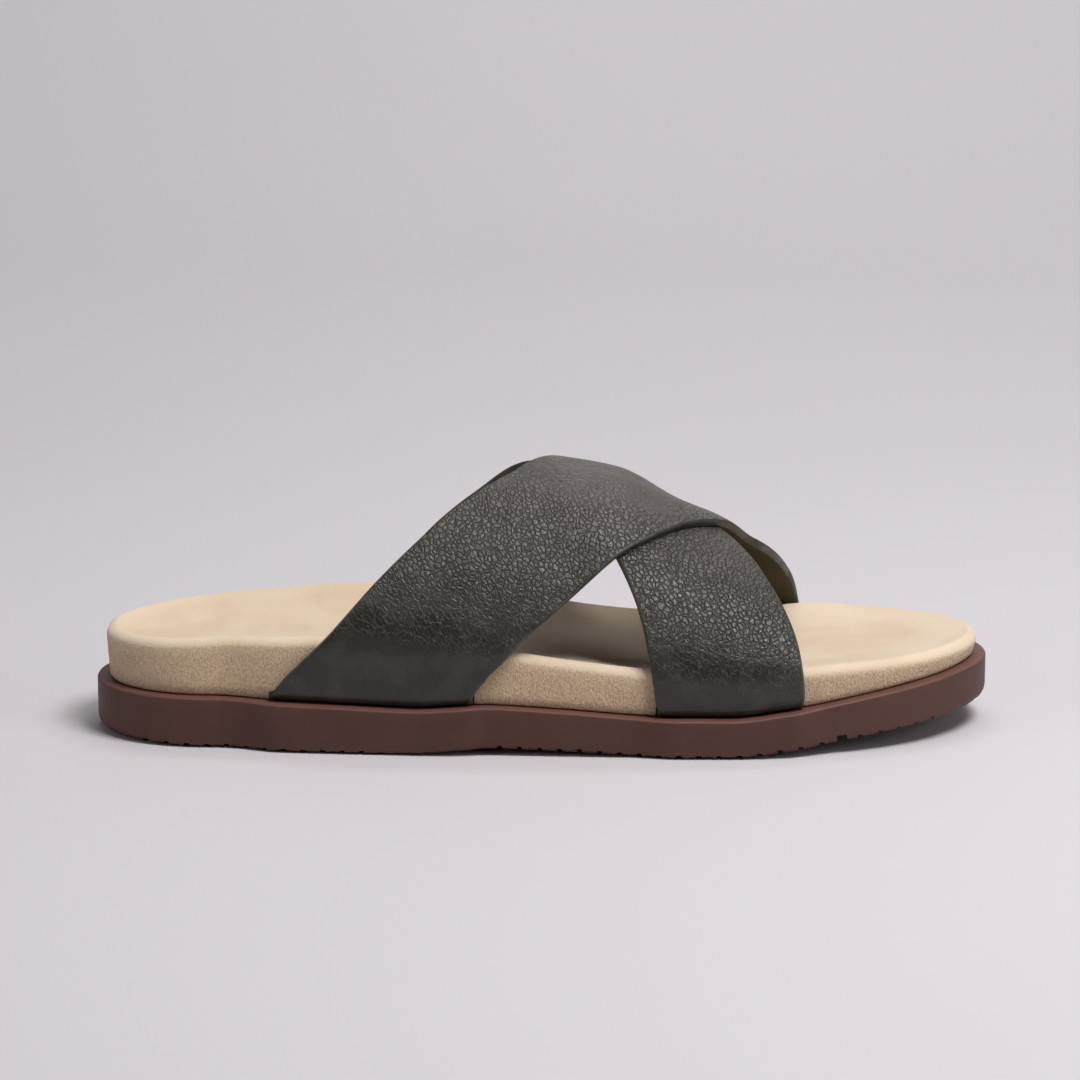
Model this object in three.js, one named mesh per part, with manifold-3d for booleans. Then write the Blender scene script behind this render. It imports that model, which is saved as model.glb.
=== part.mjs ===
// A right foot cross strap sandal: an outsole, a moulded footbed that stands on it, and an upper of two
// leather straps that cross over the instep, with their ends lasted under the footbed.
// Millimetres. +X runs from heel to toe, +Y is the inner (medial) side of the foot and +Z is up.

import * as THREE from "three";
import { mergeVertices } from "three/addons/utils/BufferGeometryUtils.js";
import Module from "manifold-3d";

const wasm = await Module();
wasm.setup();

// Footbed in plan
const footbedLength = 277;
const heelWidth = 67;
const waistWidth = 75;
const ballWidth = 96;
const toeTipOffset = 10; // the tip of the toe lies this far to the inner side of the heel's axis

// Footbed in section, heights above the outsole
const heelRimHeight = 17;
const sideRimHeight = 20;
const archRimHeight = 26;
const ballRimHeight = 12.5;
const toeRimHeight = 7;
const heelCupDepth = 6;
const toeCupDepth = 3;
const rimRadius = 3;
const wallFlare = 0.8; // the footbed's side leans out by this much at the rim
const bottomBevel = 0.6;
const dishPower = 2.6; // how late and how steeply the hollow rises to the rim

// Outsole
const heelSoleThickness = 16;
const ballSoleThickness = 12;
const toeSoleThickness = 13.2;
const heelLift = 0.8; // the back of the heel stands this much off the floor
const waistLift = 2;
const toeSpring = 8;
const restHollow = 0.04; // the flats under the heel and the ball are this hollow, so they rest on their ends
const lipWidth = 4; // the outsole stands out past the footbed all round
const strapBulge = 2.2; // and a little further where a strap goes down beside it
const bulgeRun = 14; // each end of the bulge runs out over this length
const lipBevel = 0.8;
const sideEdgeRadius = 1.2;
const endEdgeRadius = 3;
const endShare = 0.12; // the larger radius fades into the smaller over this share of the length
const bulgeLead = 0.6; // this share of the bulge's run lies outside the strap

// Tread
const groovePitch = 6.2;
const grooveWidth = 1.6;
const grooveDepth = 1.2;
const grooveWave = 3; // sideways swing of a groove's zigzag
const waveLength = 40;
const flexGrooveWidth = 3.2;
const flexGrooveDepth = 2.2;
const flexPlace = 0.83; // share of the footbed's length
const treadReach = 0.62 * ballWidth; // grooves run this far to each side
const treadZones = [
  { from: 0.05, to: 0.3 },
  { from: 0.45, to: 0.95 },
];

// Straps
const leather = 2.6;
const instepHeight = 79; // inside of the straps above the floor, at the middle of the crossing
const toeSideHeight = 57; // the same at the ball of the foot
const lastingMargin = 12; // the ends turn in under the footbed by this much
const foldRadius = 0.3;
const bridgeLength = 20; // the upper strap comes down to the foot over this length beside the lower one
const fuse = 0.4; // and is pressed into the lower one by this much, which joins them

const gap = 0.3; // between pieces that meet
const pocketReach = 8; // a lasting pocket is cut in from this far outside the footbed's side

// Resolution
const stations = 44;
const strapSteps = 40;
const strapColumns = 8;
const foldSteps = 3;
const rimSteps = 5;
const hollowRings = [0.93, 0.85, 0.74, 0.6, 0.42, 0.22, 0]; // shares of the way from the middle to the rim
const weld = 1e-3;

const clamp = THREE.MathUtils.clamp;
const lerp = THREE.MathUtils.lerp;
const smoothstep = THREE.MathUtils.smoothstep;

// A smooth curve through one column of a table, level at its two ends and never past its rows' values.
function smooth(rows, column, at) {
  const last = rows.length - 1;
  if (at <= rows[0].at) return rows[0][column];
  if (at >= rows[last].at) return rows[last][column];
  const i = rows.findIndex((row) => row.at > at) - 1;
  const [a, b] = [rows[i], rows[i + 1]];
  const steepness = (k) => (rows[k + 1][column] - rows[k][column]) / (rows[k + 1].at - rows[k].at);
  const slope = (k) => {
    if (k === 0 || k === last) return 0;
    const [before, after] = [steepness(k - 1), steepness(k)];
    return before * after > 0 ? (2 * before * after) / (before + after) : 0;
  };
  const span = b.at - a.at;
  const u = (at - a.at) / span;
  const rise = b[column] - a[column];
  const [p, q] = [slope(i) * span, slope(i + 1) * span];
  return a[column] + u * (p + u * (3 * rise - 2 * p - q + u * (p + q - 2 * rise)));
}

// Sides of the footbed between the heel's curve and the toe's, measured from the heel's axis.
const lateralSide = [
  { at: 0.13, width: 0.5 * heelWidth },
  { at: 0.2, width: 0.562 * heelWidth },
  { at: 0.34, width: 0.553 * waistWidth },
  { at: 0.47, width: 0.593 * waistWidth },
  { at: 0.6, width: 0.484 * ballWidth },
  { at: 0.7, width: 0.49 * ballWidth },
];
const medialSide = [
  { at: 0.15, width: 0.5 * heelWidth },
  { at: 0.3, width: 0.453 * waistWidth },
  { at: 0.42, width: 0.447 * waistWidth },
  { at: 0.53, width: 0.39 * ballWidth },
  { at: 0.63, width: 0.464 * ballWidth },
  { at: 0.72, width: 0.5 * ballWidth },
  { at: 0.79, width: 0.51 * ballWidth },
];
const heelRoundness = 2.2;
const lateralToeRoundness = 2;
const medialToeRoundness = 2.2;

// A quarter of a rounded outline: 1 where it starts, 0 at its tip.
const quarter = (u, roundness) => Math.pow(Math.max(0, 1 - Math.pow(u, roundness)), 1 / roundness);

// The footbed's edge beside x: side is -1 for the outer (lateral) edge and 1 for the inner one.
function edgeY(x, side) {
  const rows = side < 0 ? lateralSide : medialSide;
  const at = clamp(x / footbedLength, 0, 1);
  const first = rows[0].at;
  const last = rows[rows.length - 1].at;
  const width = smooth(rows, "width", at);
  if (at < first) return side * width * quarter(1 - at / first, heelRoundness);
  if (at < last) return side * width;
  const roundness = side < 0 ? lateralToeRoundness : medialToeRoundness;
  return toeTipOffset + (side * width - toeTipOffset) * quarter((at - last) / (1 - last), roundness);
}

// Outsole: how far its underside is off the floor, and how thick it is.
const soleRows = [
  { at: 0, lift: heelLift, thickness: 0.96 * heelSoleThickness },
  { at: 0.12, lift: 0, thickness: 0.98 * heelSoleThickness },
  { at: 0.19, lift: restHollow, thickness: 0.95 * heelSoleThickness },
  { at: 0.26, lift: 0, thickness: 0.92 * heelSoleThickness },
  { at: 0.35, lift: 0.06 * waistLift, thickness: 0.86 * heelSoleThickness },
  { at: 0.44, lift: waistLift, thickness: 1.09 * ballSoleThickness },
  { at: 0.52, lift: 0.7 * waistLift, thickness: 1.05 * ballSoleThickness },
  { at: 0.64, lift: 0, thickness: ballSoleThickness },
  { at: 0.675, lift: restHollow, thickness: ballSoleThickness },
  { at: 0.708, lift: 0, thickness: ballSoleThickness },
  { at: 0.77, lift: 0.22 * toeSpring, thickness: ballSoleThickness },
  { at: 0.87, lift: 0.62 * toeSpring, thickness: 0.95 * toeSoleThickness },
  { at: 0.94, lift: 0.85 * toeSpring, thickness: 0.98 * toeSoleThickness },
  { at: 1, lift: toeSpring, thickness: toeSoleThickness },
];
const soleBottom = (x) => smooth(soleRows, "lift", x / footbedLength);
const soleTop = (x) => soleBottom(x) + smooth(soleRows, "thickness", x / footbedLength);

// Footbed: its rim on each side, and how far its hollow lies below the lower rim.
const rimRows = [
  { at: 0, lateral: 0.95 * heelRimHeight, medial: 0.97 * heelRimHeight, hollow: heelCupDepth },
  { at: 0.07, lateral: heelRimHeight, medial: 1.06 * heelRimHeight, hollow: heelCupDepth },
  { at: 0.17, lateral: 0.95 * sideRimHeight, medial: 1.04 * sideRimHeight, hollow: heelCupDepth },
  { at: 0.27, lateral: 1.02 * sideRimHeight, medial: 0.91 * archRimHeight, hollow: 1.1 * heelCupDepth },
  { at: 0.4, lateral: 0.92 * sideRimHeight, medial: 0.96 * archRimHeight, hollow: heelCupDepth },
  { at: 0.54, lateral: 1.2 * ballRimHeight, medial: 0.66 * archRimHeight, hollow: 0.7 * heelCupDepth },
  { at: 0.66, lateral: 1.12 * ballRimHeight, medial: 1.16 * ballRimHeight, hollow: 1.3 * toeCupDepth },
  { at: 0.81, lateral: 0.92 * ballRimHeight, medial: 1.06 * ballRimHeight, hollow: 1.2 * toeCupDepth },
  { at: 0.89, lateral: 1.28 * toeRimHeight, medial: 1.4 * toeRimHeight, hollow: toeCupDepth },
  { at: 0.95, lateral: 1.1 * toeRimHeight, medial: 1.14 * toeRimHeight, hollow: toeCupDepth },
  { at: 1, lateral: toeRimHeight, medial: toeRimHeight, hollow: toeCupDepth },
];
const rimHeight = (x, side) => smooth(rimRows, side < 0 ? "lateral" : "medial", x / footbedLength);
const rimTop = (x, side) => soleTop(x) + gap + rimHeight(x, side);
const hollowDepth = (x) => smooth(rimRows, "hollow", x / footbedLength);
const hollowFloor = (x) => Math.min(rimTop(x, -1), rimTop(x, 1)) - hollowDepth(x);
const spineStart = 0.12 * footbedLength;
const spineEnd = 0.87 * footbedLength;

// The edge of the footbed as a loop from the heel along the outer side to the toe and back along the inner.
// Each point knows its outward direction and the point of the middle line that it faces.
function makeLoop() {
  const places = [];
  for (let k = 0; k <= stations; k++) {
    places.push({ x: (footbedLength / 2) * (1 - Math.cos((Math.PI * k) / stations)), side: -1 });
  }
  for (let k = stations - 1; k > 0; k--) places.push({ x: places[k].x, side: 1 });
  const points = places.map(({ x, side }) => new THREE.Vector2(x, edgeY(x, side)));
  return points.map((point, i) => {
    const before = points[(i + points.length - 1) % points.length];
    const after = points[(i + 1) % points.length];
    const along = after.clone().sub(before).normalize();
    const x = clamp(point.x, spineStart, spineEnd);
    return {
      point,
      side: places[i].side,
      out: new THREE.Vector2(along.y, -along.x),
      middle: new THREE.Vector2(x, (edgeY(x, -1) + edgeY(x, 1)) / 2),
    };
  });
}
const loop = makeLoop();

const moved = (place, distance) => place.point.clone().addScaledVector(place.out, distance);
const vertex = (plan, z) => new THREE.Vector3(plan.x, plan.y, z);

// A closed solid from a pile of loops whose first and last have shrunk to lines.
function solidFromRings(rings) {
  return solidFromTriangles(flatPoints(rings), tubeFaces(rings));
}

const flatPoints = (rows) => rows.flat().flatMap((p) => [p.x, p.y, p.z]);

function tubeFaces(rows) {
  const columns = rows[0].length;
  const index = [];
  for (let r = 0; r + 1 < rows.length; r++) {
    for (let c = 0; c < columns; c++) {
      const next = (c + 1) % columns;
      const [here, above] = [r * columns, (r + 1) * columns];
      const [a, b, d, e] = [here + c, here + next, above + c, above + next];
      index.push(a, b, e, a, e, d);
    }
  }
  return index;
}

function solidFromTriangles(positions, index) {
  let geometry = new THREE.BufferGeometry();
  geometry.setAttribute("position", new THREE.Float32BufferAttribute(positions, 3));
  geometry.setIndex(index);
  geometry = mergeVertices(geometry, weld);
  const merged = geometry.index.array;
  const corner = (k) => new THREE.Vector3().fromBufferAttribute(geometry.attributes.position, k);
  const kept = [];
  let volume = 0;
  for (let i = 0; i < merged.length; i += 3) {
    const [a, b, c] = [merged[i], merged[i + 1], merged[i + 2]];
    if (a === b || b === c || c === a) continue;
    kept.push(a, b, c);
    volume += corner(a).dot(corner(b).cross(corner(c)));
  }
  if (volume < 0) kept.reverse();
  return new wasm.Manifold(
    new wasm.Mesh({
      numProp: 3,
      vertProperties: geometry.attributes.position.array,
      triVerts: new Uint32Array(kept),
    }),
  );
}

function solidFromGeometry(geometry) {
  const bare = geometry.index ? geometry.toNonIndexed() : geometry.clone();
  const positions = Array.from(bare.getAttribute("position").array);
  return solidFromTriangles(positions, positions.slice(0, positions.length / 3).map((_, i) => i));
}

function meshFromSolid(solid, name, material) {
  const { vertProperties, triVerts } = solid.getMesh();
  const geometry = new THREE.BufferGeometry();
  geometry.setAttribute("position", new THREE.BufferAttribute(vertProperties, 3));
  geometry.setIndex(new THREE.BufferAttribute(triVerts, 1));
  geometry.computeVertexNormals();
  const mesh = new THREE.Mesh(geometry, material);
  mesh.name = name;
  return mesh;
}

// Straps. The last they are pulled over is a run of sections across the foot: up the footbed's side, over
// the instep and down the other side. "crest" is a section's highest point and "crestY" where it lies.
const lastRows = [
  { at: 0.3, crest: 1.03 * instepHeight, crestY: 0.02 * ballWidth },
  { at: 0.48, crest: 1.03 * instepHeight, crestY: 0.03 * ballWidth },
  { at: 0.51, crest: 1.015 * instepHeight, crestY: 0.03 * ballWidth },
  { at: 0.58, crest: 0.97 * instepHeight, crestY: 0.03 * ballWidth },
  { at: 0.65, crest: 1.16 * toeSideHeight, crestY: 0.04 * ballWidth },
  { at: 0.72, crest: 1.02 * toeSideHeight, crestY: 0.04 * ballWidth },
  { at: 0.79, crest: 0.85 * toeSideHeight, crestY: 0.05 * ballWidth },
  { at: 0.86, crest: 0.62 * toeSideHeight, crestY: 0.05 * ballWidth },
];
const handles = { wall: 0.55, crest: 0.45 }; // how far the curve holds to the wall's way and to the crest's
const wallShare = 0.08; // the walls' share of the way round
const foldRound = 0.018; // the fold at a strap's end takes this share of it
const bodyStart = 0.025; // and the strap lies on the last from here

function lastSection(x) {
  const at = x / footbedLength;
  return {
    floor: soleTop(x) + gap,
    lateral: edgeY(x, -1) - gap,
    medial: edgeY(x, 1) + gap,
    lateralShoulder: rimTop(x, -1) - rimRadius,
    medialShoulder: rimTop(x, 1) - rimRadius,
    crest: smooth(lastRows, "crest", at),
    crestY: smooth(lastRows, "crestY", at),
  };
}

// The strap's side of the footbed's wall, which leans out up to the shoulder.
function wallY(section, side, z) {
  const [foot, shoulder] =
    side < 0 ? [section.lateral, section.lateralShoulder] : [section.medial, section.medialShoulder];
  return foot + (side * wallFlare * (z - section.floor)) / (shoulder - section.floor);
}

// The last's surface: round runs from 0 at the outer edge of the sole to 1 at the inner edge.
function lastSurface(x, round) {
  const s = lastSection(x);
  const outer = round < 0.5;
  const part = outer ? round : 1 - round;
  const side = outer ? -1 : 1;
  const shoulder = outer ? s.lateralShoulder : s.medialShoulder;
  const wall = wallY(s, side, shoulder);
  if (part < wallShare) {
    const z = lerp(s.floor, shoulder, part / wallShare);
    return new THREE.Vector3(x, wallY(s, side, z), z);
  }
  const u = (part - wallShare) / (0.5 - wallShare);
  const [w3, w2, w1, w0] = [u ** 3, 3 * u * u * (1 - u), 3 * u * (1 - u) ** 2, (1 - u) ** 3];
  const reach = lerp(s.crestY, wall, handles.crest);
  const rise = lerp(shoulder, s.crest, handles.wall);
  return new THREE.Vector3(
    x,
    w0 * wall + w1 * wall + w2 * reach + w3 * s.crestY,
    w0 * shoulder + w1 * rise + w2 * s.crest + w3 * s.crest,
  );
}

const probe = 0.5;
const turn = 0.004;
function lastNormal(x, round) {
  const around = lastSurface(x, Math.min(1, round + turn)).sub(lastSurface(x, Math.max(0, round - turn)));
  const along = lastSurface(x + probe, round).sub(lastSurface(x - probe, round));
  return along.cross(around).normalize();
}

// The straps' edges on their way round the foot from its outer side, as shares of the footbed's length. The
// rows lie evenly round.
const overStrap = [
  { rear: 0.192, front: 0.4175 },
  { rear: 0.2595, front: 0.468 },
  { rear: 0.3185, front: 0.5365 },
  { rear: 0.38, front: 0.6025 },
  { rear: 0.4425, front: 0.6555 },
  { rear: 0.5035, front: 0.713 },
  { rear: 0.548, front: 0.7585 },
  { rear: 0.5845, front: 0.784 },
  { rear: 0.613, front: 0.7995 },
  { rear: 0.6325, front: 0.8085 },
  { rear: 0.648, front: 0.813 },
];
const underStrap = [
  { rear: 0.626, front: 0.789 },
  { rear: 0.6185, front: 0.7865 },
  { rear: 0.6025, front: 0.778 },
  { rear: 0.5705, front: 0.7595 },
  { rear: 0.5365, front: 0.732 },
  { rear: 0.5, front: 0.692 },
  { rear: 0.4615, front: 0.657 },
  { rear: 0.423, front: 0.6215 },
  { rear: 0.367, front: 0.5725 },
  { rear: 0.3135, front: 0.515 },
  { rear: 0.25, front: 0.437 },
];

const edgeCurves = new Map();
for (const rows of [overStrap, underStrap]) {
  const curve = (column) => new THREE.SplineCurve(rows.map((row, i) => new THREE.Vector2(i, row[column])));
  edgeCurves.set(rows, { rear: curve("rear"), front: curve("front") });
}

// The two edges of a strap at its share of the way round.
function strapEdges(rows, round) {
  const { rear, front } = edgeCurves.get(rows);
  return { rear: footbedLength * rear.getPoint(round).y, front: footbedLength * front.getPoint(round).y };
}

// How high the upper strap rides on the lower one at a place on the last.
function rideHeight(x, round) {
  const { rear, front } = strapEdges(underStrap, round);
  const away = Math.max(0, rear - x, x - front);
  return (leather - fuse) * (1 - smoothstep(away, 0, bridgeLength));
}

// One strap as a closed solid: its outer and inner faces go round from one lasted end to the other.
function strapSolid(rows, lift) {
  const outerFace = [];
  const innerFace = [];
  const addRow = (place) => {
    outerFace.push([]);
    innerFace.push([]);
    for (let c = 0; c <= strapColumns; c++) {
      const { inner, normal } = place(c / strapColumns);
      innerFace.at(-1).push(inner);
      outerFace.at(-1).push(inner.clone().addScaledVector(normal, leather));
    }
  };
  const addEnd = (side) => {
    const corner = (share, turned) => {
      const round = foldRound * turned ** 3;
      const { rear, front } = strapEdges(rows, side < 0 ? round : 1 - round);
      const x = lerp(rear, front, share);
      const s = lastSection(x);
      const z = s.floor + leather;
      return { x, y: wallY(s, side, z + foldRadius), z };
    };
    const steps = [];
    steps.push((share) => {
      const { x, y, z } = corner(share, 0);
      const tip = new THREE.Vector3(x, y - side * lastingMargin, z);
      return { inner: tip, normal: new THREE.Vector3(0, 0, -1) };
    });
    for (let k = 0; k <= foldSteps; k++) {
      const angle = ((Math.PI / 2) * k) / foldSteps;
      steps.push((share) => {
        const { x, y, z } = corner(share, k / foldSteps);
        const [outward, down] = [Math.sin(angle), Math.cos(angle)];
        return {
          inner: new THREE.Vector3(x, y - side * foldRadius * (1 - outward), z + foldRadius * (1 - down)),
          normal: new THREE.Vector3(0, side * outward, -down),
        };
      });
    }
    if (side > 0) steps.reverse();
    steps.forEach(addRow);
  };
  addEnd(-1);
  for (let k = 0; k <= strapSteps; k++) {
    const round = lerp(bodyStart, 1 - bodyStart, k / strapSteps);
    const { rear, front } = strapEdges(rows, round);
    addRow((share) => {
      const x = lerp(rear, front, share);
      const normal = lastNormal(x, round);
      return { inner: lastSurface(x, round).addScaledVector(normal, lift(x, round)), normal };
    });
  }
  addEnd(1);
  return solidFromStrip(outerFace.map((row, r) => [...row, ...innerFace[r].slice().reverse()]));
}

// Closes a tube of rows, each a loop of outer then inner points, with a strip of faces at both ends.
function solidFromStrip(skin) {
  const columns = skin[0].length;
  const index = tubeFaces(skin);
  const cap = (row, flip) => {
    const base = row * columns;
    for (let c = 0; c + 1 < columns / 2; c++) {
      const [a, b, d, e] = [base + c, base + c + 1, base + columns - 1 - c, base + columns - 2 - c];
      index.push(...(flip ? [a, e, b, a, d, e] : [a, b, e, a, e, d]));
    }
  };
  cap(0, true);
  cap(skin.length - 1, false);
  return solidFromTriangles(flatPoints(skin), index);
}

function makeOutsole(material) {
  const bulge = (x, side) =>
    [overStrap, underStrap].reduce((most, rows) => {
      const { rear, front } = strapEdges(rows, side < 0 ? 0 : 1);
      const [outside, inside] = [bulgeLead * bulgeRun, (1 - bulgeLead) * bulgeRun];
      const rise = smoothstep(x, rear - outside, rear + inside);
      const fall = smoothstep(x, front - inside, front + outside);
      return Math.max(most, rise * (1 - fall));
    }, 0);
  const rings = [];
  const ring = (inset, height) =>
    rings.push(
      loop.map((place) => {
        const x = place.point.x;
        const spread = lipWidth + strapBulge * bulge(x, place.side);
        return vertex(moved(place, spread - inset(x)), height(x));
      }),
    );
  const middle = (height) => rings.push(loop.map((place) => vertex(place.middle, height(place.middle.x))));
  const edgeRadius = (x) => {
    const near = Math.min(x, footbedLength - x) / footbedLength;
    return lerp(endEdgeRadius, sideEdgeRadius, smoothstep(near, 0, endShare));
  };
  middle(soleBottom);
  for (let k = 0; k <= foldSteps; k++) {
    const angle = ((Math.PI / 2) * k) / foldSteps;
    ring(
      (x) => edgeRadius(x) * (1 - Math.sin(angle)),
      (x) => soleBottom(x) + edgeRadius(x) * (1 - Math.cos(angle)),
    );
  }
  ring(
    () => 0,
    (x) => soleTop(x) - lipBevel,
  );
  ring(() => lipBevel, soleTop);
  middle(soleTop);
  let solid = solidFromRings(rings);
  const cutGroove = (x, width, depth) => {
    const half = waveLength / 2;
    const turns = Math.ceil(treadReach / half);
    const line = [];
    for (let k = -turns; k <= turns; k++) {
      const swing = (k % 2 === 0 ? grooveWave : -grooveWave) / 2;
      line.push([x + swing, k * half]);
    }
    const shape = new THREE.Shape([
      ...line.map(([px, py]) => new THREE.Vector2(px - width / 2, py)),
      ...line.reverse().map(([px, py]) => new THREE.Vector2(px + width / 2, py)),
    ]);
    const bar = new THREE.ExtrudeGeometry(shape, { depth: 2 * depth, bevelEnabled: false });
    bar.translate(0, 0, soleBottom(x) - depth);
    solid = solid.subtract(solidFromGeometry(bar));
  };
  const flexAt = flexPlace * footbedLength;
  for (const { from, to } of treadZones) {
    for (let x = from * footbedLength; x <= to * footbedLength; x += groovePitch) {
      if (Math.abs(x - flexAt) > groovePitch / 2) cutGroove(x, grooveWidth, grooveDepth);
    }
  }
  cutGroove(flexAt, flexGrooveWidth, flexGrooveDepth);
  return meshFromSolid(solid, "outsole", material);
}

// The room that a strap's lasted ends need in the underside of the footbed.
function lastingPocket(rows, side) {
  const { rear, front } = strapEdges(rows, side < 0 ? 0 : 1);
  const grid = [];
  for (let c = 0; c <= strapColumns; c++) {
    const x = lerp(rear - gap, front + gap, c / strapColumns);
    const { floor } = lastSection(x);
    const outside = edgeY(x, side) + side * pocketReach;
    const inside = edgeY(x, side) - side * (lastingMargin + gap);
    const [low, high] = [floor - leather, floor + leather + gap];
    grid.push([
      new THREE.Vector3(x, outside, low),
      new THREE.Vector3(x, outside, high),
      new THREE.Vector3(x, inside, high),
      new THREE.Vector3(x, inside, low),
    ]);
  }
  return solidFromStrip(grid);
}

function makeFootbed(material) {
  const rings = [];
  const ring = (distance, height) =>
    rings.push(loop.map((place) => vertex(moved(place, distance), height(place.point.x, place.side))));
  const bottom = (x) => soleTop(x) + gap;
  rings.push(loop.map((place) => vertex(place.middle, bottom(place.middle.x))));
  ring(-bottomBevel, bottom);
  ring(0, (x) => bottom(x) + bottomBevel);
  for (let k = 0; k <= rimSteps; k++) {
    const angle = ((Math.PI / 2) * k) / rimSteps;
    ring(
      wallFlare - rimRadius * (1 - Math.cos(angle)),
      (x, side) => rimTop(x, side) - rimRadius * (1 - Math.sin(angle)),
    );
  }
  for (const share of hollowRings) {
    rings.push(
      loop.map((place) => {
        const crest = moved(place, wallFlare - rimRadius);
        const plan = place.middle.clone().lerp(crest, share);
        const rise = Math.pow(share, dishPower);
        return vertex(plan, lerp(hollowFloor(plan.x), rimTop(place.point.x, place.side), rise));
      }),
    );
  }
  let solid = solidFromRings(rings);
  for (const rows of [overStrap, underStrap]) {
    for (const side of [-1, 1]) solid = solid.subtract(lastingPocket(rows, side));
  }
  return meshFromSolid(solid, "footbed", material);
}

function makeUpper(material) {
  const under = strapSolid(underStrap, () => 0);
  const over = strapSolid(overStrap, rideHeight);
  return meshFromSolid(under.add(over), "upper", material);
}

const brownRubber = new THREE.MeshStandardMaterial({ color: 0x4e312b, roughness: 0.7, metalness: 0 });
const sandSuede = new THREE.MeshStandardMaterial({ color: 0xd9c3a3, roughness: 0.95, metalness: 0 });
const darkGreenLeather = new THREE.MeshStandardMaterial({ color: 0x3a3b36, roughness: 0.5, metalness: 0 });

const sandal = new THREE.Group();
sandal.add(makeOutsole(brownRubber), makeFootbed(sandSuede), makeUpper(darkGreenLeather));

// The origin lies on the floor, in the middle of the outsole's length and width.
const box = new THREE.Box3().setFromObject(sandal);
sandal.position.set(-(box.min.x + box.max.x) / 2, -(box.min.y + box.max.y) / 2, -box.min.z);

export default sandal;
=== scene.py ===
"""A cross strap sandal for the right foot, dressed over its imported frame.

The outsole, the footbed and the two straps are drawn again on the frame's own sizes, finer and with rounded
edges, and given rubber, suede and pebbled leather. Metres; +X runs from heel to toe, +Y is the inner side of
the foot and +Z is up.
"""

import math

import bmesh
import bpy
import numpy as np
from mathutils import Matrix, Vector


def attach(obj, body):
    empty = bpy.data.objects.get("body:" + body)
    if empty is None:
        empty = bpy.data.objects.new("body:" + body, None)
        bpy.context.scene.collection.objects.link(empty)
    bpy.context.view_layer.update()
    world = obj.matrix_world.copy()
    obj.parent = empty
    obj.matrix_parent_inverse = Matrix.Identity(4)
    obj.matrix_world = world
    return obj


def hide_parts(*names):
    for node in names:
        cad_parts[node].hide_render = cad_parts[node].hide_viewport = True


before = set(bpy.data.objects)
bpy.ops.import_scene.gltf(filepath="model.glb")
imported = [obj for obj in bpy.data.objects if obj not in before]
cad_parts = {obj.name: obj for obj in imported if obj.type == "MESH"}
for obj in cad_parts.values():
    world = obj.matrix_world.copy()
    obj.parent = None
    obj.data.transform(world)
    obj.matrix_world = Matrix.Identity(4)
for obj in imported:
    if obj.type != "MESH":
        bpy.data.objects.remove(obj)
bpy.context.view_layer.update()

bl_info = {
    "name": "Cross strap sandal",
    "version": (1, 0, 0),
    "blender": (4, 5, 0),
    "location": "View3D > Sidebar > Sandal",
    "description": "Builds a sandal with a rubber outsole, a suede footbed and two pebbled leather straps",
    "category": "Add Mesh",
}

mm = 0.001


def shade(red, green, blue):
    """A colour as it is seen on a screen, 0 to 255, in the linear values that Blender keeps."""
    seen = [value / 255 for value in (red, green, blue)]
    return tuple(v / 12.92 if v < 0.0404 else ((v + 0.055) / 1.055) ** 2.4 for v in seen)


# The frame's own sizes

FOOTBED_LENGTH = 277 * mm
HEEL_WIDTH = 67 * mm
WAIST_WIDTH = 75 * mm
BALL_WIDTH = 96 * mm
TOE_TIP_OFFSET = 10 * mm  # the tip of the toe lies this far to the inner side of the heel's axis
AXIS_Y = -0.9164 * mm  # where the heel's axis lies in the frame

HEEL_RIM = 17 * mm
SIDE_RIM = 20 * mm
ARCH_RIM = 26 * mm
BALL_RIM = 12.5 * mm
TOE_RIM = 7 * mm
HEEL_CUP = 6 * mm
TOE_CUP = 3 * mm
WALL_FLARE = 0.8 * mm
BOTTOM_BEVEL = 0.6 * mm

HEEL_SOLE = 16 * mm
BALL_SOLE = 12 * mm
TOE_SOLE = 13.2 * mm
HEEL_LIFT = 0.8 * mm
WAIST_LIFT = 2 * mm
TOE_SPRING = 8 * mm
REST_HOLLOW = 0.04 * mm

INSTEP_HEIGHT = 79 * mm
TOE_SIDE_HEIGHT = 57 * mm
LASTING_MARGIN = 12 * mm
FOLD_RADIUS = 0.3 * mm
BRIDGE_LENGTH = 20 * mm
GAP = 0.3 * mm

LATERAL_SIDE = [
    dict(at=0.13, width=0.5 * HEEL_WIDTH),
    dict(at=0.2, width=0.562 * HEEL_WIDTH),
    dict(at=0.34, width=0.553 * WAIST_WIDTH),
    dict(at=0.47, width=0.593 * WAIST_WIDTH),
    dict(at=0.6, width=0.484 * BALL_WIDTH),
    dict(at=0.7, width=0.49 * BALL_WIDTH),
]
MEDIAL_SIDE = [
    dict(at=0.15, width=0.5 * HEEL_WIDTH),
    dict(at=0.3, width=0.453 * WAIST_WIDTH),
    dict(at=0.42, width=0.447 * WAIST_WIDTH),
    dict(at=0.53, width=0.39 * BALL_WIDTH),
    dict(at=0.63, width=0.464 * BALL_WIDTH),
    dict(at=0.72, width=0.5 * BALL_WIDTH),
    dict(at=0.79, width=0.51 * BALL_WIDTH),
]
HEEL_ROUNDNESS = 2.2
LATERAL_TOE_ROUNDNESS = 2.0
MEDIAL_TOE_ROUNDNESS = 2.2

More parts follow.
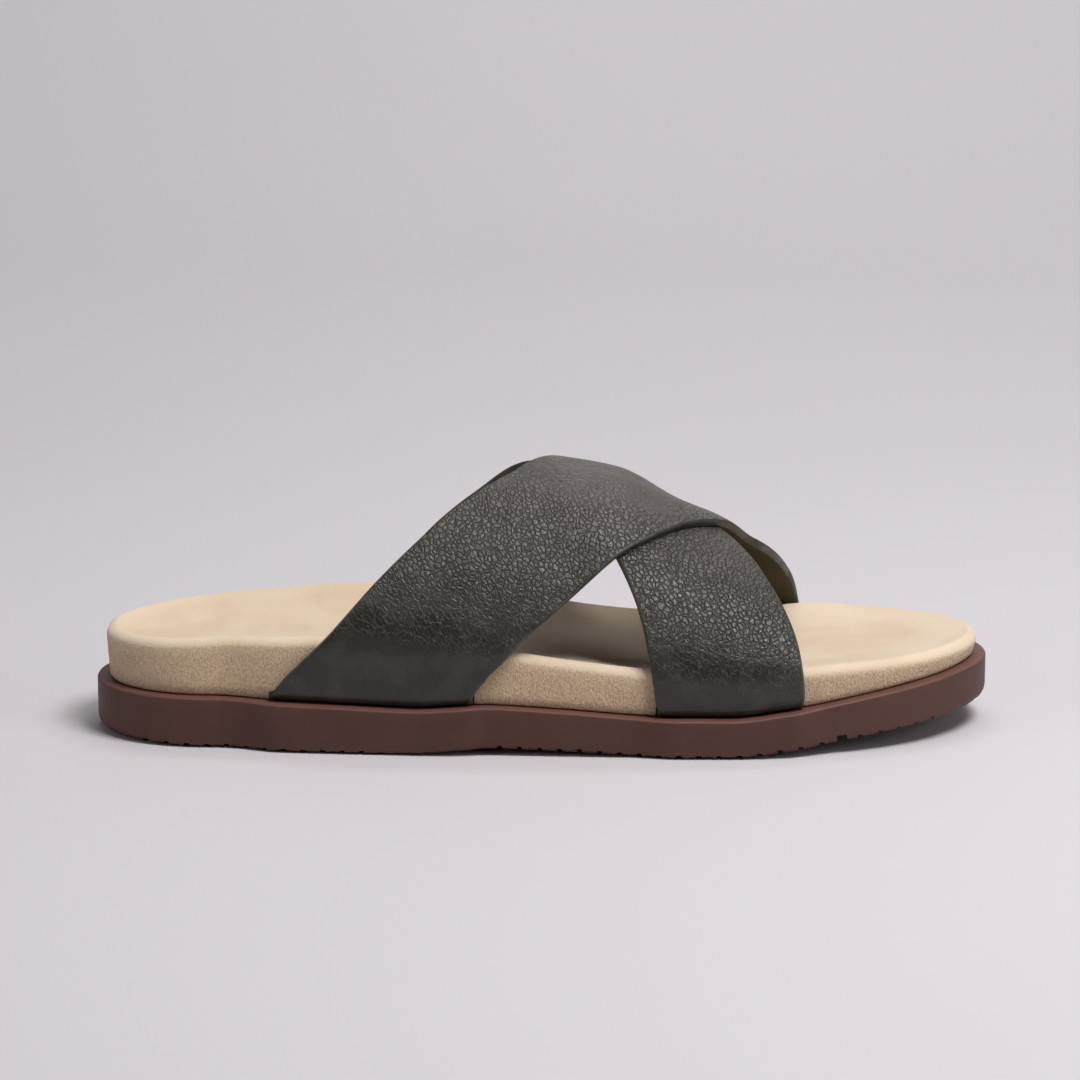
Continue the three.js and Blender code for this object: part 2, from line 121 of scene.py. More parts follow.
SOLE = [
    dict(at=0.0, lift=HEEL_LIFT, thickness=0.96 * HEEL_SOLE),
    dict(at=0.12, lift=0.0, thickness=0.98 * HEEL_SOLE),
    dict(at=0.19, lift=REST_HOLLOW, thickness=0.95 * HEEL_SOLE),
    dict(at=0.26, lift=0.0, thickness=0.92 * HEEL_SOLE),
    dict(at=0.35, lift=0.06 * WAIST_LIFT, thickness=0.86 * HEEL_SOLE),
    dict(at=0.44, lift=WAIST_LIFT, thickness=1.09 * BALL_SOLE),
    dict(at=0.52, lift=0.7 * WAIST_LIFT, thickness=1.05 * BALL_SOLE),
    dict(at=0.64, lift=0.0, thickness=BALL_SOLE),
    dict(at=0.675, lift=REST_HOLLOW, thickness=BALL_SOLE),
    dict(at=0.708, lift=0.0, thickness=BALL_SOLE),
    dict(at=0.77, lift=0.22 * TOE_SPRING, thickness=BALL_SOLE),
    dict(at=0.87, lift=0.62 * TOE_SPRING, thickness=0.95 * TOE_SOLE),
    dict(at=0.94, lift=0.85 * TOE_SPRING, thickness=0.98 * TOE_SOLE),
    dict(at=1.0, lift=TOE_SPRING, thickness=TOE_SOLE),
]
RIM = [
    dict(at=0.0, lateral=0.95 * HEEL_RIM, medial=0.97 * HEEL_RIM, hollow=HEEL_CUP),
    dict(at=0.07, lateral=HEEL_RIM, medial=1.06 * HEEL_RIM, hollow=HEEL_CUP),
    dict(at=0.17, lateral=0.95 * SIDE_RIM, medial=1.04 * SIDE_RIM, hollow=HEEL_CUP),
    dict(at=0.27, lateral=1.02 * SIDE_RIM, medial=0.91 * ARCH_RIM, hollow=1.1 * HEEL_CUP),
    dict(at=0.4, lateral=0.92 * SIDE_RIM, medial=0.96 * ARCH_RIM, hollow=HEEL_CUP),
    dict(at=0.54, lateral=1.2 * BALL_RIM, medial=0.66 * ARCH_RIM, hollow=0.7 * HEEL_CUP),
    dict(at=0.66, lateral=1.12 * BALL_RIM, medial=1.16 * BALL_RIM, hollow=1.3 * TOE_CUP),
    dict(at=0.81, lateral=0.92 * BALL_RIM, medial=1.06 * BALL_RIM, hollow=1.2 * TOE_CUP),
    dict(at=0.89, lateral=1.28 * TOE_RIM, medial=1.4 * TOE_RIM, hollow=TOE_CUP),
    dict(at=0.95, lateral=1.1 * TOE_RIM, medial=1.14 * TOE_RIM, hollow=TOE_CUP),
    dict(at=1.0, lateral=TOE_RIM, medial=TOE_RIM, hollow=TOE_CUP),
]
LAST = [
    dict(at=0.3, crest=1.03 * INSTEP_HEIGHT, crest_y=0.02 * BALL_WIDTH),
    dict(at=0.48, crest=1.03 * INSTEP_HEIGHT, crest_y=0.03 * BALL_WIDTH),
    dict(at=0.51, crest=1.015 * INSTEP_HEIGHT, crest_y=0.03 * BALL_WIDTH),
    dict(at=0.58, crest=0.97 * INSTEP_HEIGHT, crest_y=0.03 * BALL_WIDTH),
    dict(at=0.65, crest=1.16 * TOE_SIDE_HEIGHT, crest_y=0.04 * BALL_WIDTH),
    dict(at=0.72, crest=1.02 * TOE_SIDE_HEIGHT, crest_y=0.04 * BALL_WIDTH),
    dict(at=0.79, crest=0.85 * TOE_SIDE_HEIGHT, crest_y=0.05 * BALL_WIDTH),
    dict(at=0.86, crest=0.62 * TOE_SIDE_HEIGHT, crest_y=0.05 * BALL_WIDTH),
]
WALL_HANDLE = 0.55
CREST_HANDLE = 0.45
WALL_SHARE = 0.08  # the walls' share of the way round the last
FOLD_WAY = 0.0145  # how far up the way round a strap's end starts to turn in under the footbed
BODY_START = 0.03  # how far up the way round the strap's own rows start, above that turn

# A strap's two edges on its way round from the outer side, as shares of the footbed's length, evenly spaced
OVER_STRAP = dict(
    rear=[0.192, 0.2595, 0.3185, 0.38, 0.4425, 0.5035, 0.548, 0.5845, 0.613, 0.6325, 0.648],
    front=[0.4175, 0.468, 0.5365, 0.6025, 0.6555, 0.713, 0.7585, 0.784, 0.7995, 0.8085, 0.813],
)
UNDER_STRAP = dict(
    rear=[0.626, 0.6185, 0.6025, 0.5705, 0.5365, 0.5, 0.4615, 0.423, 0.367, 0.3135, 0.25],
    front=[0.789, 0.7865, 0.778, 0.7595, 0.732, 0.692, 0.657, 0.6215, 0.5725, 0.515, 0.437],
)


# Curves and surfaces


def lerp(a, b, share):
    return a + (b - a) * share


def smoothstep(value, low, high):
    share = np.clip((value - low) / (high - low), 0, 1)
    return share * share * (3 - 2 * share)


def smooth(rows, column, at):
    """A smooth curve through one column of a table, level at its ends and never past its rows' values."""
    places = np.array([row["at"] for row in rows])
    values = np.array([row[column] for row in rows])
    steepness = np.diff(values) / np.diff(places)
    before, after = steepness[:-1], steepness[1:]
    same_way = before * after > 0
    slopes = np.zeros(len(rows))
    slopes[1:-1] = np.where(same_way, 2 * before * after / np.where(same_way, before + after, 1), 0)
    at = np.clip(at, places[0], places[-1])
    i = np.clip(np.searchsorted(places, at, side="right") - 1, 0, len(rows) - 2)
    span = places[i + 1] - places[i]
    u = (at - places[i]) / span
    rise = values[i + 1] - values[i]
    p, q = slopes[i] * span, slopes[i + 1] * span
    return values[i] + u * (p + u * (3 * rise - 2 * p - q + u * (p + q - 2 * rise)))


def quarter(u, roundness):
    """A quarter of a rounded outline: 1 where it starts, 0 at its tip."""
    return np.maximum(0, 1 - np.clip(u, 0, 1) ** roundness) ** (1 / roundness)


def edge_y(x, side):
    """The footbed's edge beside x: side is -1 for the outer edge and 1 for the inner one."""
    rows = LATERAL_SIDE if side < 0 else MEDIAL_SIDE
    toe_roundness = LATERAL_TOE_ROUNDNESS if side < 0 else MEDIAL_TOE_ROUNDNESS
    at = np.clip(x / FOOTBED_LENGTH, 0, 1)
    first, last = rows[0]["at"], rows[-1]["at"]
    width = side * smooth(rows, "width", at)
    heel = width * quarter(1 - at / first, HEEL_ROUNDNESS)
    toe = TOE_TIP_OFFSET + (width - TOE_TIP_OFFSET) * quarter((at - last) / (1 - last), toe_roundness)
    return np.where(at < first, heel, np.where(at < last, width, toe))


def sole_bottom(x):
    return smooth(SOLE, "lift", x / FOOTBED_LENGTH)


def sole_top(x):
    return sole_bottom(x) + smooth(SOLE, "thickness", x / FOOTBED_LENGTH)


def rim_top(x, side):
    return sole_top(x) + GAP + smooth(RIM, "lateral" if side < 0 else "medial", x / FOOTBED_LENGTH)


def hollow_floor(x):
    return np.minimum(rim_top(x, -1), rim_top(x, 1)) - smooth(RIM, "hollow", x / FOOTBED_LENGTH)


def last_surface(x, way, rim_radius):
    """The surface the straps lie on: way runs from 0 at the outer edge of the sole to 1 at the inner edge."""
    outer = way < 0.5
    part = np.where(outer, way, 1 - way)
    side = np.where(outer, -1.0, 1.0)
    floor = sole_top(x) + GAP
    foot = np.where(outer, edge_y(x, -1) - GAP, edge_y(x, 1) + GAP)
    shoulder = np.where(outer, rim_top(x, -1), rim_top(x, 1)) - rim_radius
    wall = foot + side * WALL_FLARE
    crest = smooth(LAST, "crest", x / FOOTBED_LENGTH)
    crest_y = smooth(LAST, "crest_y", x / FOOTBED_LENGTH)
    climb = np.clip(part / WALL_SHARE, 0, 1)
    u = np.clip((part - WALL_SHARE) / (0.5 - WALL_SHARE), 0, 1)
    w3, w2, w1, w0 = u**3, 3 * u * u * (1 - u), 3 * u * (1 - u) ** 2, (1 - u) ** 3
    reach = lerp(crest_y, wall, CREST_HANDLE)
    rise = lerp(shoulder, crest, WALL_HANDLE)
    on_wall = part < WALL_SHARE
    y = np.where(on_wall, foot + side * WALL_FLARE * climb, w0 * wall + w1 * wall + w2 * reach + w3 * crest_y)
    z = np.where(on_wall, lerp(floor, shoulder, climb), w0 * shoulder + w1 * rise + (w2 + w3) * crest)
    return np.stack([x, y, z], axis=-1)


def last_normal(x, way, rim_radius):
    probe, turn = 0.5 * mm, 0.004
    around = last_surface(x, np.minimum(1, way + turn), rim_radius)
    around = around - last_surface(x, np.maximum(0, way - turn), rim_radius)
    along = last_surface(x + probe, way, rim_radius) - last_surface(x - probe, way, rim_radius)
    normal = np.cross(along, around)
    return normal / np.linalg.norm(normal, axis=-1, keepdims=True)


def strap_edge(shares, way):
    """One edge of a strap at its share of the way round: a curve through evenly spaced points."""
    values = np.array(shares)
    place = np.clip(way, 0, 1) * (len(values) - 1)
    i = np.clip(np.floor(place).astype(int), 0, len(values) - 2)
    u = place - i
    p0, p1 = values[np.maximum(i - 1, 0)], values[i]
    p2, p3 = values[i + 1], values[np.minimum(i + 2, len(values) - 1)]
    a, b = (p2 - p0) / 2, (p3 - p1) / 2
    return FOOTBED_LENGTH * (p1 + u * (a + u * (3 * (p2 - p1) - 2 * a - b + u * (2 * (p1 - p2) + a + b))))


# Meshes


def in_frame(points):
    """Footbed coordinates, from the back of the heel, as places in the frame."""
    return np.asarray(points) + np.array([-FOOTBED_LENGTH / 2, AXIS_Y, 0])


def tube_faces(rows, columns):
    """Quads between a pile of closed loops."""
    faces = []
    for low in range(0, (rows - 1) * columns, columns):
        high = low + columns
        for c in range(columns):
            after = (c + 1) % columns
            faces.append((low + c, low + after, high + after, high + c))
    return faces


def make_piece(name, points, faces, merge=0.0):
    """A smooth mesh object with its faces outwards and its doubles merged."""
    mesh = bpy.data.meshes.new(name)
    mesh.from_pydata([tuple(p) for p in in_frame(points)], [], faces)
    work = bmesh.new()
    work.from_mesh(mesh)
    if merge:
        bmesh.ops.remove_doubles(work, verts=work.verts, dist=merge)
        bmesh.ops.dissolve_degenerate(work, edges=work.edges, dist=merge)
    bmesh.ops.recalc_face_normals(work, faces=work.faces)
    work.to_mesh(mesh)
    work.free()
    mesh.shade_smooth()
    piece = bpy.data.objects.new(name, mesh)
    bpy.context.scene.collection.objects.link(piece)
    return piece


def apply_modifiers(piece):
    """Turns the evaluated object into a plain mesh and takes its modifiers off."""
    shaped = bpy.data.meshes.new_from_object(piece.evaluated_get(bpy.context.evaluated_depsgraph_get()))
    old = piece.data
    piece.modifiers.clear()
    piece.data = shaped
    shaped.name = piece.name
    bpy.data.meshes.remove(old)


def hand_over(piece, node):
    """Hangs the piece on the root body and hides the frame's node that it stands for."""
    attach(piece, "root")
    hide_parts(node)


def edge_loop(stations):
    """The edge of the footbed as a loop from the heel along the outer side to the toe and back."""
    x = FOOTBED_LENGTH / 2 * (1 - np.cos(np.pi * np.arange(stations + 1) / stations))
    xs = np.concatenate([x, x[-2:0:-1]])
    side = np.concatenate([np.full(stations + 1, -1.0), np.full(stations - 1, 1.0)])
    y = np.where(side < 0, edge_y(xs, -1), edge_y(xs, 1))
    plan = np.stack([xs, y], axis=-1)
    along = np.roll(plan, -1, axis=0) - np.roll(plan, 1, axis=0)
    along /= np.linalg.norm(along, axis=-1, keepdims=True)
    out = np.stack([along[:, 1], -along[:, 0]], axis=-1)
    spine = np.clip(xs, 0.12 * FOOTBED_LENGTH, 0.87 * FOOTBED_LENGTH)
    middle = np.stack([spine, (edge_y(spine, -1) + edge_y(spine, 1)) / 2], axis=-1)
    return dict(plan=plan, out=out, side=side, middle=middle)


def by_side(loop, heights):
    """The outer or the inner value of a height, whichever side each point of the loop is on."""
    x = loop["plan"][:, 0]
    return np.where(loop["side"] < 0, heights(x, -1), heights(x, 1))


def ring(loop, distance, height):
    plan = loop["plan"] + loop["out"] * np.reshape(distance, (-1, 1))
    return np.column_stack([plan, np.broadcast_to(height, len(plan))])


# Node trees


def add_node(tree, kind, inputs=None, **settings):
    """A node with its settings, whose inputs are set by value or joined to another node's output."""
    made = tree.nodes.new(kind)
    for name, value in settings.items():
        setattr(made, name, value)
    for name, value in (inputs or {}).items():
        socket = made.inputs[name]
        if isinstance(value, bpy.types.NodeSocket):
            tree.links.new(value, socket)
        else:
            socket.default_value = value
    return made


def new_group(kind, name, inputs, outputs):
    """A node group with named sockets, and its input and output nodes."""
    tree = bpy.data.node_groups.new(name, kind)
    for label, socket, default in inputs:
        made = tree.interface.new_socket(name=label, in_out="INPUT", socket_type=socket)
        if default is not None:
            made.default_value = default
    for label, socket in outputs:
        tree.interface.new_socket(name=label, in_out="OUTPUT", socket_type=socket)
    return tree, tree.nodes.new("NodeGroupInput"), tree.nodes.new("NodeGroupOutput")


def math_node(tree, operation, *values, clamp=False):
    made = add_node(tree, "ShaderNodeMath", dict(enumerate(values)), operation=operation, use_clamp=clamp)
    return made.outputs[0]


def vector_node(tree, operation, *values, scale=None):
    inputs = dict(enumerate(values))
    if scale is not None:
        inputs["Scale"] = scale
    return add_node(tree, "ShaderNodeVectorMath", inputs, operation=operation).outputs[0]


def cell_edges(tree, vector, scale, randomness):
    """How far each place is from the nearest edge between two cells."""
    inputs = {"Vector": vector, "Scale": scale, "Randomness": randomness}
    return add_node(tree, "ShaderNodeTexVoronoi", inputs, feature="DISTANCE_TO_EDGE").outputs["Distance"]


def product(tree, first, *others):
    for other in others:
        first = math_node(tree, "MULTIPLY", first, other)
    return first


def inverse(tree, value):
    return math_node(tree, "SUBTRACT", 1.0, value)


def ramp(tree, value, low, high, start=0.0, end=1.0):
    """A soft step of a value from start at low to end at high."""
    made = add_node(
        tree,
        "ShaderNodeMapRange",
        {"Value": value, "From Min": low, "From Max": high, "To Min": start, "To Max": end},
        interpolation_type="SMOOTHSTEP",
    )
    return made.outputs[0]


def blend(tree, share, a, b, mode="MIX"):
    """A mix of two colours."""
    made = tree.nodes.new("ShaderNodeMix")
    made.data_type = "RGBA"
    made.blend_type = mode
    for socket, value in ((made.inputs[0], share), (made.inputs[6], a), (made.inputs[7], b)):
        if isinstance(value, bpy.types.NodeSocket):
            tree.links.new(value, socket)
        else:
            socket.default_value = value if isinstance(value, float) else (*value, 1.0)[:4]
    return made.outputs[2]


DOME_SHARE = 0.27  # how far a pebble goes on rising from its crack, as a share of its size

# Heights over the floor between which each kind of the straps' grain comes in or goes out
PEBBLES_IN = (29 * mm, 54 * mm)
WRINKLES_IN = (72 * mm, 86 * mm)
WEB_IN = (24 * mm, 33 * mm)
WEB_OUT = (42 * mm, 52 * mm)
# PALER: heights over which the straps' colour turns paler upwards, a painted light standing in for how the
# lamps light the upper strap
PALER = (28 * mm, 84 * mm)
ZONE_TILT = 0.14  # how much lower these heights lie for each length further towards the toe
ZONE_WOBBLE = 8 * mm
GRAIN_SLANT = 118  # degrees from the strap's x on its unrolled surface


def pebble_group():
    """Leather's pebbles: rounded cells of two sizes with fine cracks between them."""
    tree, given, out = new_group(
        "ShaderNodeTree",
        "Pebble grain",
        [
            ("Vector", "NodeSocketVector", None),
            ("Pebble size", "NodeSocketFloat", 1.3 * mm),
            ("Wander", "NodeSocketFloat", 0.5),
        ],
        [("Height", "NodeSocketFloat"), ("Cracks", "NodeSocketFloat"), ("Lines", "NodeSocketFloat")],
    )
    count = math_node(tree, "DIVIDE", 1.0, given.outputs["Pebble size"])
    place = vector_node(tree, "SCALE", given.outputs["Vector"], scale=count)
    noise = add_node(tree, "ShaderNodeTexNoise", {"Vector": place, "Scale": 0.6, "Detail": 3.0})
    centred = vector_node(tree, "SUBTRACT", noise.outputs["Color"], (0.5, 0.5, 0.5))
    swing = vector_node(tree, "SCALE", centred, scale=given.outputs["Wander"])
    moved = vector_node(tree, "ADD", place, swing)
    coarse = cell_edges(tree, moved, 1.0, 0.9)
    fine = cell_edges(tree, moved, 2.3, 1.0)
    slope = math_node(tree, "MULTIPLY_ADD", coarse, -1 / DOME_SHARE, 1.0, clamp=True)
    domes = inverse(tree, product(tree, slope, slope))
    creases = ramp(tree, fine, 0.0, 0.18)
    height = math_node(tree, "MULTIPLY_ADD", domes, 0.88, math_node(tree, "MULTIPLY", creases, 0.12))
    deep = ramp(tree, coarse, 0.02, 0.1, 1.0, 0.0)
    shallow = ramp(tree, fine, 0.02, 0.1, 0.3, 0.0)
    tree.links.new(height, out.inputs["Height"])
    tree.links.new(math_node(tree, "MAXIMUM", deep, shallow), out.inputs["Cracks"])
    tree.links.new(ramp(tree, coarse, 0.01, 0.06, 1.0, 0.0), out.inputs["Lines"])
    return tree


def stretched_along(tree, vector, degrees, length, width):
    """Coordinates for a grain that is drawn out in one direction."""
    inputs = {"Vector": vector, "Rotation": (0, 0, math.radians(degrees)), "Scale": (length, width, 1.0)}
    return add_node(tree, "ShaderNodeMapping", inputs, vector_type="TEXTURE").outputs[0]


def nap_group():
    """A short irregular nap or skin: soft noise, and a slower patchiness."""
    tree, given, out = new_group(
        "ShaderNodeTree",
        "Nap and patches",
        [
            ("Vector", "NodeSocketVector", None),
            ("Nap size", "NodeSocketFloat", 0.6 * mm),
            ("Patch size", "NodeSocketFloat", 25 * mm),
        ],
        [("Height", "NodeSocketFloat"), ("Patches", "NodeSocketFloat")],
    )
    vector = given.outputs["Vector"]
    naps = math_node(tree, "DIVIDE", 1.0, given.outputs["Nap size"])
    patches = math_node(tree, "DIVIDE", 1.0, given.outputs["Patch size"])
    short = {"Vector": vector, "Scale": naps, "Detail": 4.0, "Roughness": 0.6}
    close = add_node(tree, "ShaderNodeTexNoise", short)
    wide = add_node(tree, "ShaderNodeTexNoise", {"Vector": vector, "Scale": patches, "Detail": 3.0})
    tree.links.new(ramp(tree, close.outputs["Fac"], 0.25, 0.75), out.inputs["Height"])
    tree.links.new(ramp(tree, wide.outputs["Fac"], 0.3, 0.7), out.inputs["Patches"])
    return tree


def shared(name, maker):
    """A node group that more than one material uses, built once."""
    return bpy.data.node_groups.get(name) or maker()


def new_material(name):
    material = bpy.data.materials.new(name)
    material.use_nodes = True
    tree = material.node_tree
    return material, tree, tree.nodes["Principled BSDF"]


def add_group(tree, group, **inputs):
    made = tree.nodes.new("ShaderNodeGroup")
    made.node_tree = group
    for label, value in inputs.items():
        socket = made.inputs[label.replace("_", " ")]
        if isinstance(value, bpy.types.NodeSocket):
            tree.links.new(value, socket)
        else:
            socket.default_value = value
    return made


def add_nap(tree, vector, nap_size, patch_size):
    group = shared("Nap and patches", nap_group)
    return add_group(tree, group, Vector=vector, Nap_size=nap_size, Patch_size=patch_size)


def add_bump(tree, height, distance, strength=1.0, before=None):
    inputs = {"Height": height, "Distance": distance, "Strength": strength}
    if before is not None:
        inputs["Normal"] = before
    return add_node(tree, "ShaderNodeBump", inputs).outputs[0]


def leather_material(finish):
    """Pebbled leather: full pebbles halfway up, fine wrinkles along the crest, a faint web of lines lower
    down and smooth skin towards the sole. Its colour turns paler higher up as painted light, the cracks are
    darkened as painted shade and the lines low down are lightened as a painted glint."""
    material, tree, shader = new_material("pebbled_leather")
    unrolled = add_node(tree, "ShaderNodeUVMap", uv_map="unrolled").outputs[0]
    place = add_node(tree, "ShaderNodeTexCoord").outputs["Object"]
    parts = add_node(tree, "ShaderNodeSeparateXYZ", {"Vector": place})
    tilted = math_node(tree, "MULTIPLY_ADD", parts.outputs["X"], ZONE_TILT, parts.outputs["Z"])
    noise = add_node(tree, "ShaderNodeTexNoise", {"Vector": place, "Scale": 60.0, "Detail": 2.0})
    wobble = noise.outputs["Fac"]
    lowest = math_node(tree, "SUBTRACT", tilted, ZONE_WOBBLE)
    uneven = math_node(tree, "MULTIPLY_ADD", wobble, 2 * ZONE_WOBBLE, lowest)
    raised = ramp(tree, uneven, *PEBBLES_IN)
    crested = ramp(tree, uneven, *WRINKLES_IN)
    webbed = product(tree, ramp(tree, uneven, *WEB_IN), inverse(tree, ramp(tree, uneven, *WEB_OUT)))

    grain = shared("Pebble grain", pebble_group)
    turned = stretched_along(tree, unrolled, GRAIN_SLANT, 1.15, 0.9)
    pebbles = add_group(tree, grain, Vector=turned, Pebble_size=finish.pebble_size)
    along = stretched_along(tree, unrolled, 0, 3.2, 0.8)
    wrinkles = add_group(tree, grain, Vector=along, Pebble_size=0.75 * finish.pebble_size, Wander=1.6)
    slanted = stretched_along(tree, unrolled, GRAIN_SLANT, 1.9, 0.75)
    web = add_group(tree, grain, Vector=slanted, Pebble_size=0.95 * finish.pebble_size, Wander=1.1)
    skin = add_nap(tree, unrolled, 0.3 * mm, 9 * mm)

    full = product(tree, raised, math_node(tree, "MULTIPLY_ADD", crested, -0.85, 1.0))
    faint = product(tree, crested, 0.7)
    rise = math_node(
        tree,
        "MULTIPLY_ADD",
        pebbles.outputs["Height"],
        full,
        math_node(tree, "MULTIPLY", wrinkles.outputs["Height"], faint),
    )
    ridges = product(tree, web.outputs["Lines"], webbed)
    rise = math_node(tree, "MULTIPLY_ADD", ridges, 0.25, rise)
    cracks = math_node(
        tree,
        "MAXIMUM",
        math_node(tree, "MULTIPLY", pebbles.outputs["Cracks"], full),
        product(tree, wrinkles.outputs["Cracks"], faint, 0.6),
    )
    patches = math_node(tree, "MULTIPLY_ADD", skin.outputs["Patches"], 0.35, -0.15)
    # Paler higher up is painted light; the patches are the leather's own uneven tone
    painted_light_and_patches = math_node(tree, "ADD", ramp(tree, uneven, *PALER), patches, clamp=True)
    base = blend(tree, painted_light_and_patches, finish.leather, finish.leather_paler_lit_and_patchy)
    # Painted glint: the fine ridges low on the straps are lightened, as if catching the light
    glinting_lines = blend(tree, math_node(tree, "MULTIPLY", ridges, 0.3), base, finish.leather_line_glint)
    # Painted shade: the cracks between the pebbles and wrinkles are darkened
    cracked = blend(tree, math_node(tree, "MULTIPLY", cracks, 0.82), glinting_lines, finish.leather_crack_shade)
    tree.links.new(cracked, shader.inputs["Base Color"])
    polish = math_node(tree, "MULTIPLY_ADD", skin.outputs["Height"], 0.12, 0.22)
    shader.inputs["Specular IOR Level"].default_value = 0.6
    rough = math_node(tree, "MULTIPLY_ADD", cracks, 0.3, polish)
    tree.links.new(rough, shader.inputs["Roughness"])
    surface = add_bump(tree, rise, 0.32 * mm, 1.0)
    surface = add_bump(tree, skin.outputs["Height"], 0.05 * mm, 0.7, surface)
    tree.links.new(surface, shader.inputs["Normal"])
    return material


def edge_material(finish):
    """The straps' cut edges: painted smooth, a little uneven."""
    material, tree, shader = new_material("painted_edge")
    place = add_node(tree, "ShaderNodeTexCoord").outputs["Object"]
    skin = add_nap(tree, place, 0.8 * mm, 12 * mm)
    base = blend(tree, skin.outputs["Patches"], finish.edge_paint, finish.leather)
    tree.links.new(base, shader.inputs["Base Color"])
    rough = math_node(tree, "MULTIPLY_ADD", skin.outputs["Patches"], 0.15, 0.38)
    tree.links.new(rough, shader.inputs["Roughness"])
    tree.links.new(add_bump(tree, skin.outputs["Height"], 0.05 * mm, 0.4), shader.inputs["Normal"])
    return material


def lining_material(finish):
    """The straps' lining: smooth hide with a faint nap."""
    material, tree, shader = new_material("strap_lining")
    place = add_node(tree, "ShaderNodeTexCoord").outputs["Object"]
    skin = add_nap(tree, place, 0.5 * mm, 16 * mm)
    base = blend(tree, skin.outputs["Patches"], finish.lining, finish.lining_worn)
    tree.links.new(base, shader.inputs["Base Color"])
    rough = math_node(tree, "MULTIPLY_ADD", skin.outputs["Height"], 0.15, 0.6)
    tree.links.new(rough, shader.inputs["Roughness"])
    tree.links.new(add_bump(tree, skin.outputs["Height"], 0.06 * mm, 0.5), shader.inputs["Normal"])
    return material


def suede_material(finish):
    """Suede: a soft mottled nap on top, a tighter crumbled grain down the sides with painted shade in its
    pits, a separate browner colour on the upright sides as painted light, and a paler rim, partly worn and
    partly a painted highlight.
    """
    material, tree, shader = new_material("sand_suede")
    place = add_node(tree, "ShaderNodeTexCoord").outputs["Object"]
    side = add_node(tree, "ShaderNodeAttribute", attribute_name="side").outputs["Fac"]
    rim = add_node(tree, "ShaderNodeAttribute", attribute_name="rim").outputs["Fac"]
    nap = add_nap(tree, place, 0.7 * mm, 22 * mm)
    slanted = {"Vector": place, "Rotation": (0, math.radians(40), 0), "Scale": (1, 1, 0.6)}
    across = add_node(tree, "ShaderNodeMapping", slanted).outputs[0]
    crumble = add_nap(tree, across, 0.5 * mm, 6 * mm)
    base = blend(tree, nap.outputs["Patches"], finish.suede, finish.suede_mottle)
    # Painted light: the upright sides take their own browner colour, standing in for how the lamps light them
    painted_side_light = blend(tree, math_node(tree, "MULTIPLY", side, 0.85), base, finish.suede_side)
    # Paler along the rounded rim: partly worn suede, partly a painted highlight
    highlit = blend(tree, math_node(tree, "MULTIPLY", rim, 0.3), painted_side_light, finish.suede_rim_worn_and_lit)
    # Painted shade: the pits between the crumbled grains are darkened, mostly down the sides
    pits = ramp(tree, crumble.outputs["Height"], 0.1, 0.85, 1.0, 0.0)
    pit_shade = math_node(tree, "MULTIPLY", pits, math_node(tree, "MULTIPLY_ADD", side, 0.38, 0.04))
    tree.links.new(blend(tree, pit_shade, highlit, finish.suede_pit_shade), shader.inputs["Base Color"])
    shader.inputs["Roughness"].default_value = 0.95
    shader.inputs["Specular IOR Level"].default_value = 0.2
    shader.inputs["Sheen Weight"].default_value = 0.25
    shader.inputs["Sheen Roughness"].default_value = 0.6
    fuzzy = add_bump(tree, nap.outputs["Height"], 0.12 * mm, 0.6)
    rougher = math_node(tree, "MULTIPLY_ADD", side, 0.9, 0.06)
    grain = math_node(tree, "MULTIPLY", crumble.outputs["Height"], rougher)
    tree.links.new(add_bump(tree, grain, 0.35 * mm, 1.0, fuzzy), shader.inputs["Normal"])
    return material


def rubber_material(finish):
    """Moulded rubber: a fine skin, a painted highlight along its upper edge and a paler foot where it wears
    on the floor.
    """
    material, tree, shader = new_material("brown_rubber")
    place = add_node(tree, "ShaderNodeTexCoord").outputs["Object"]
    rim = add_node(tree, "ShaderNodeAttribute", attribute_name="rim").outputs["Fac"]
    skin = add_nap(tree, place, 0.35 * mm, 18 * mm)
    height = add_node(tree, "ShaderNodeSeparateXYZ", {"Vector": place}).outputs["Z"]
    patches = math_node(tree, "MULTIPLY", skin.outputs["Patches"], 0.5)
    base = blend(tree, patches, finish.rubber, finish.rubber_worn)
    # Painted highlight: a paler band along the lip's rounded upper edge
    highlit = blend(tree, math_node(tree, "MULTIPLY", rim, 0.4), base, finish.rubber_rim)
    low = ramp(tree, height, 0.5 * mm, 4 * mm, 0.35, 0.0)
    tree.links.new(blend(tree, low, highlit, finish.rubber_worn), shader.inputs["Base Color"])
    rough = math_node(tree, "MULTIPLY_ADD", skin.outputs["Height"], 0.12, 0.5)
    tree.links.new(rough, shader.inputs["Roughness"])
    shader.inputs["Specular IOR Level"].default_value = 0.35
    tree.links.new(add_bump(tree, skin.outputs["Height"], 0.04 * mm, 0.5), shader.inputs["Normal"])
    return material


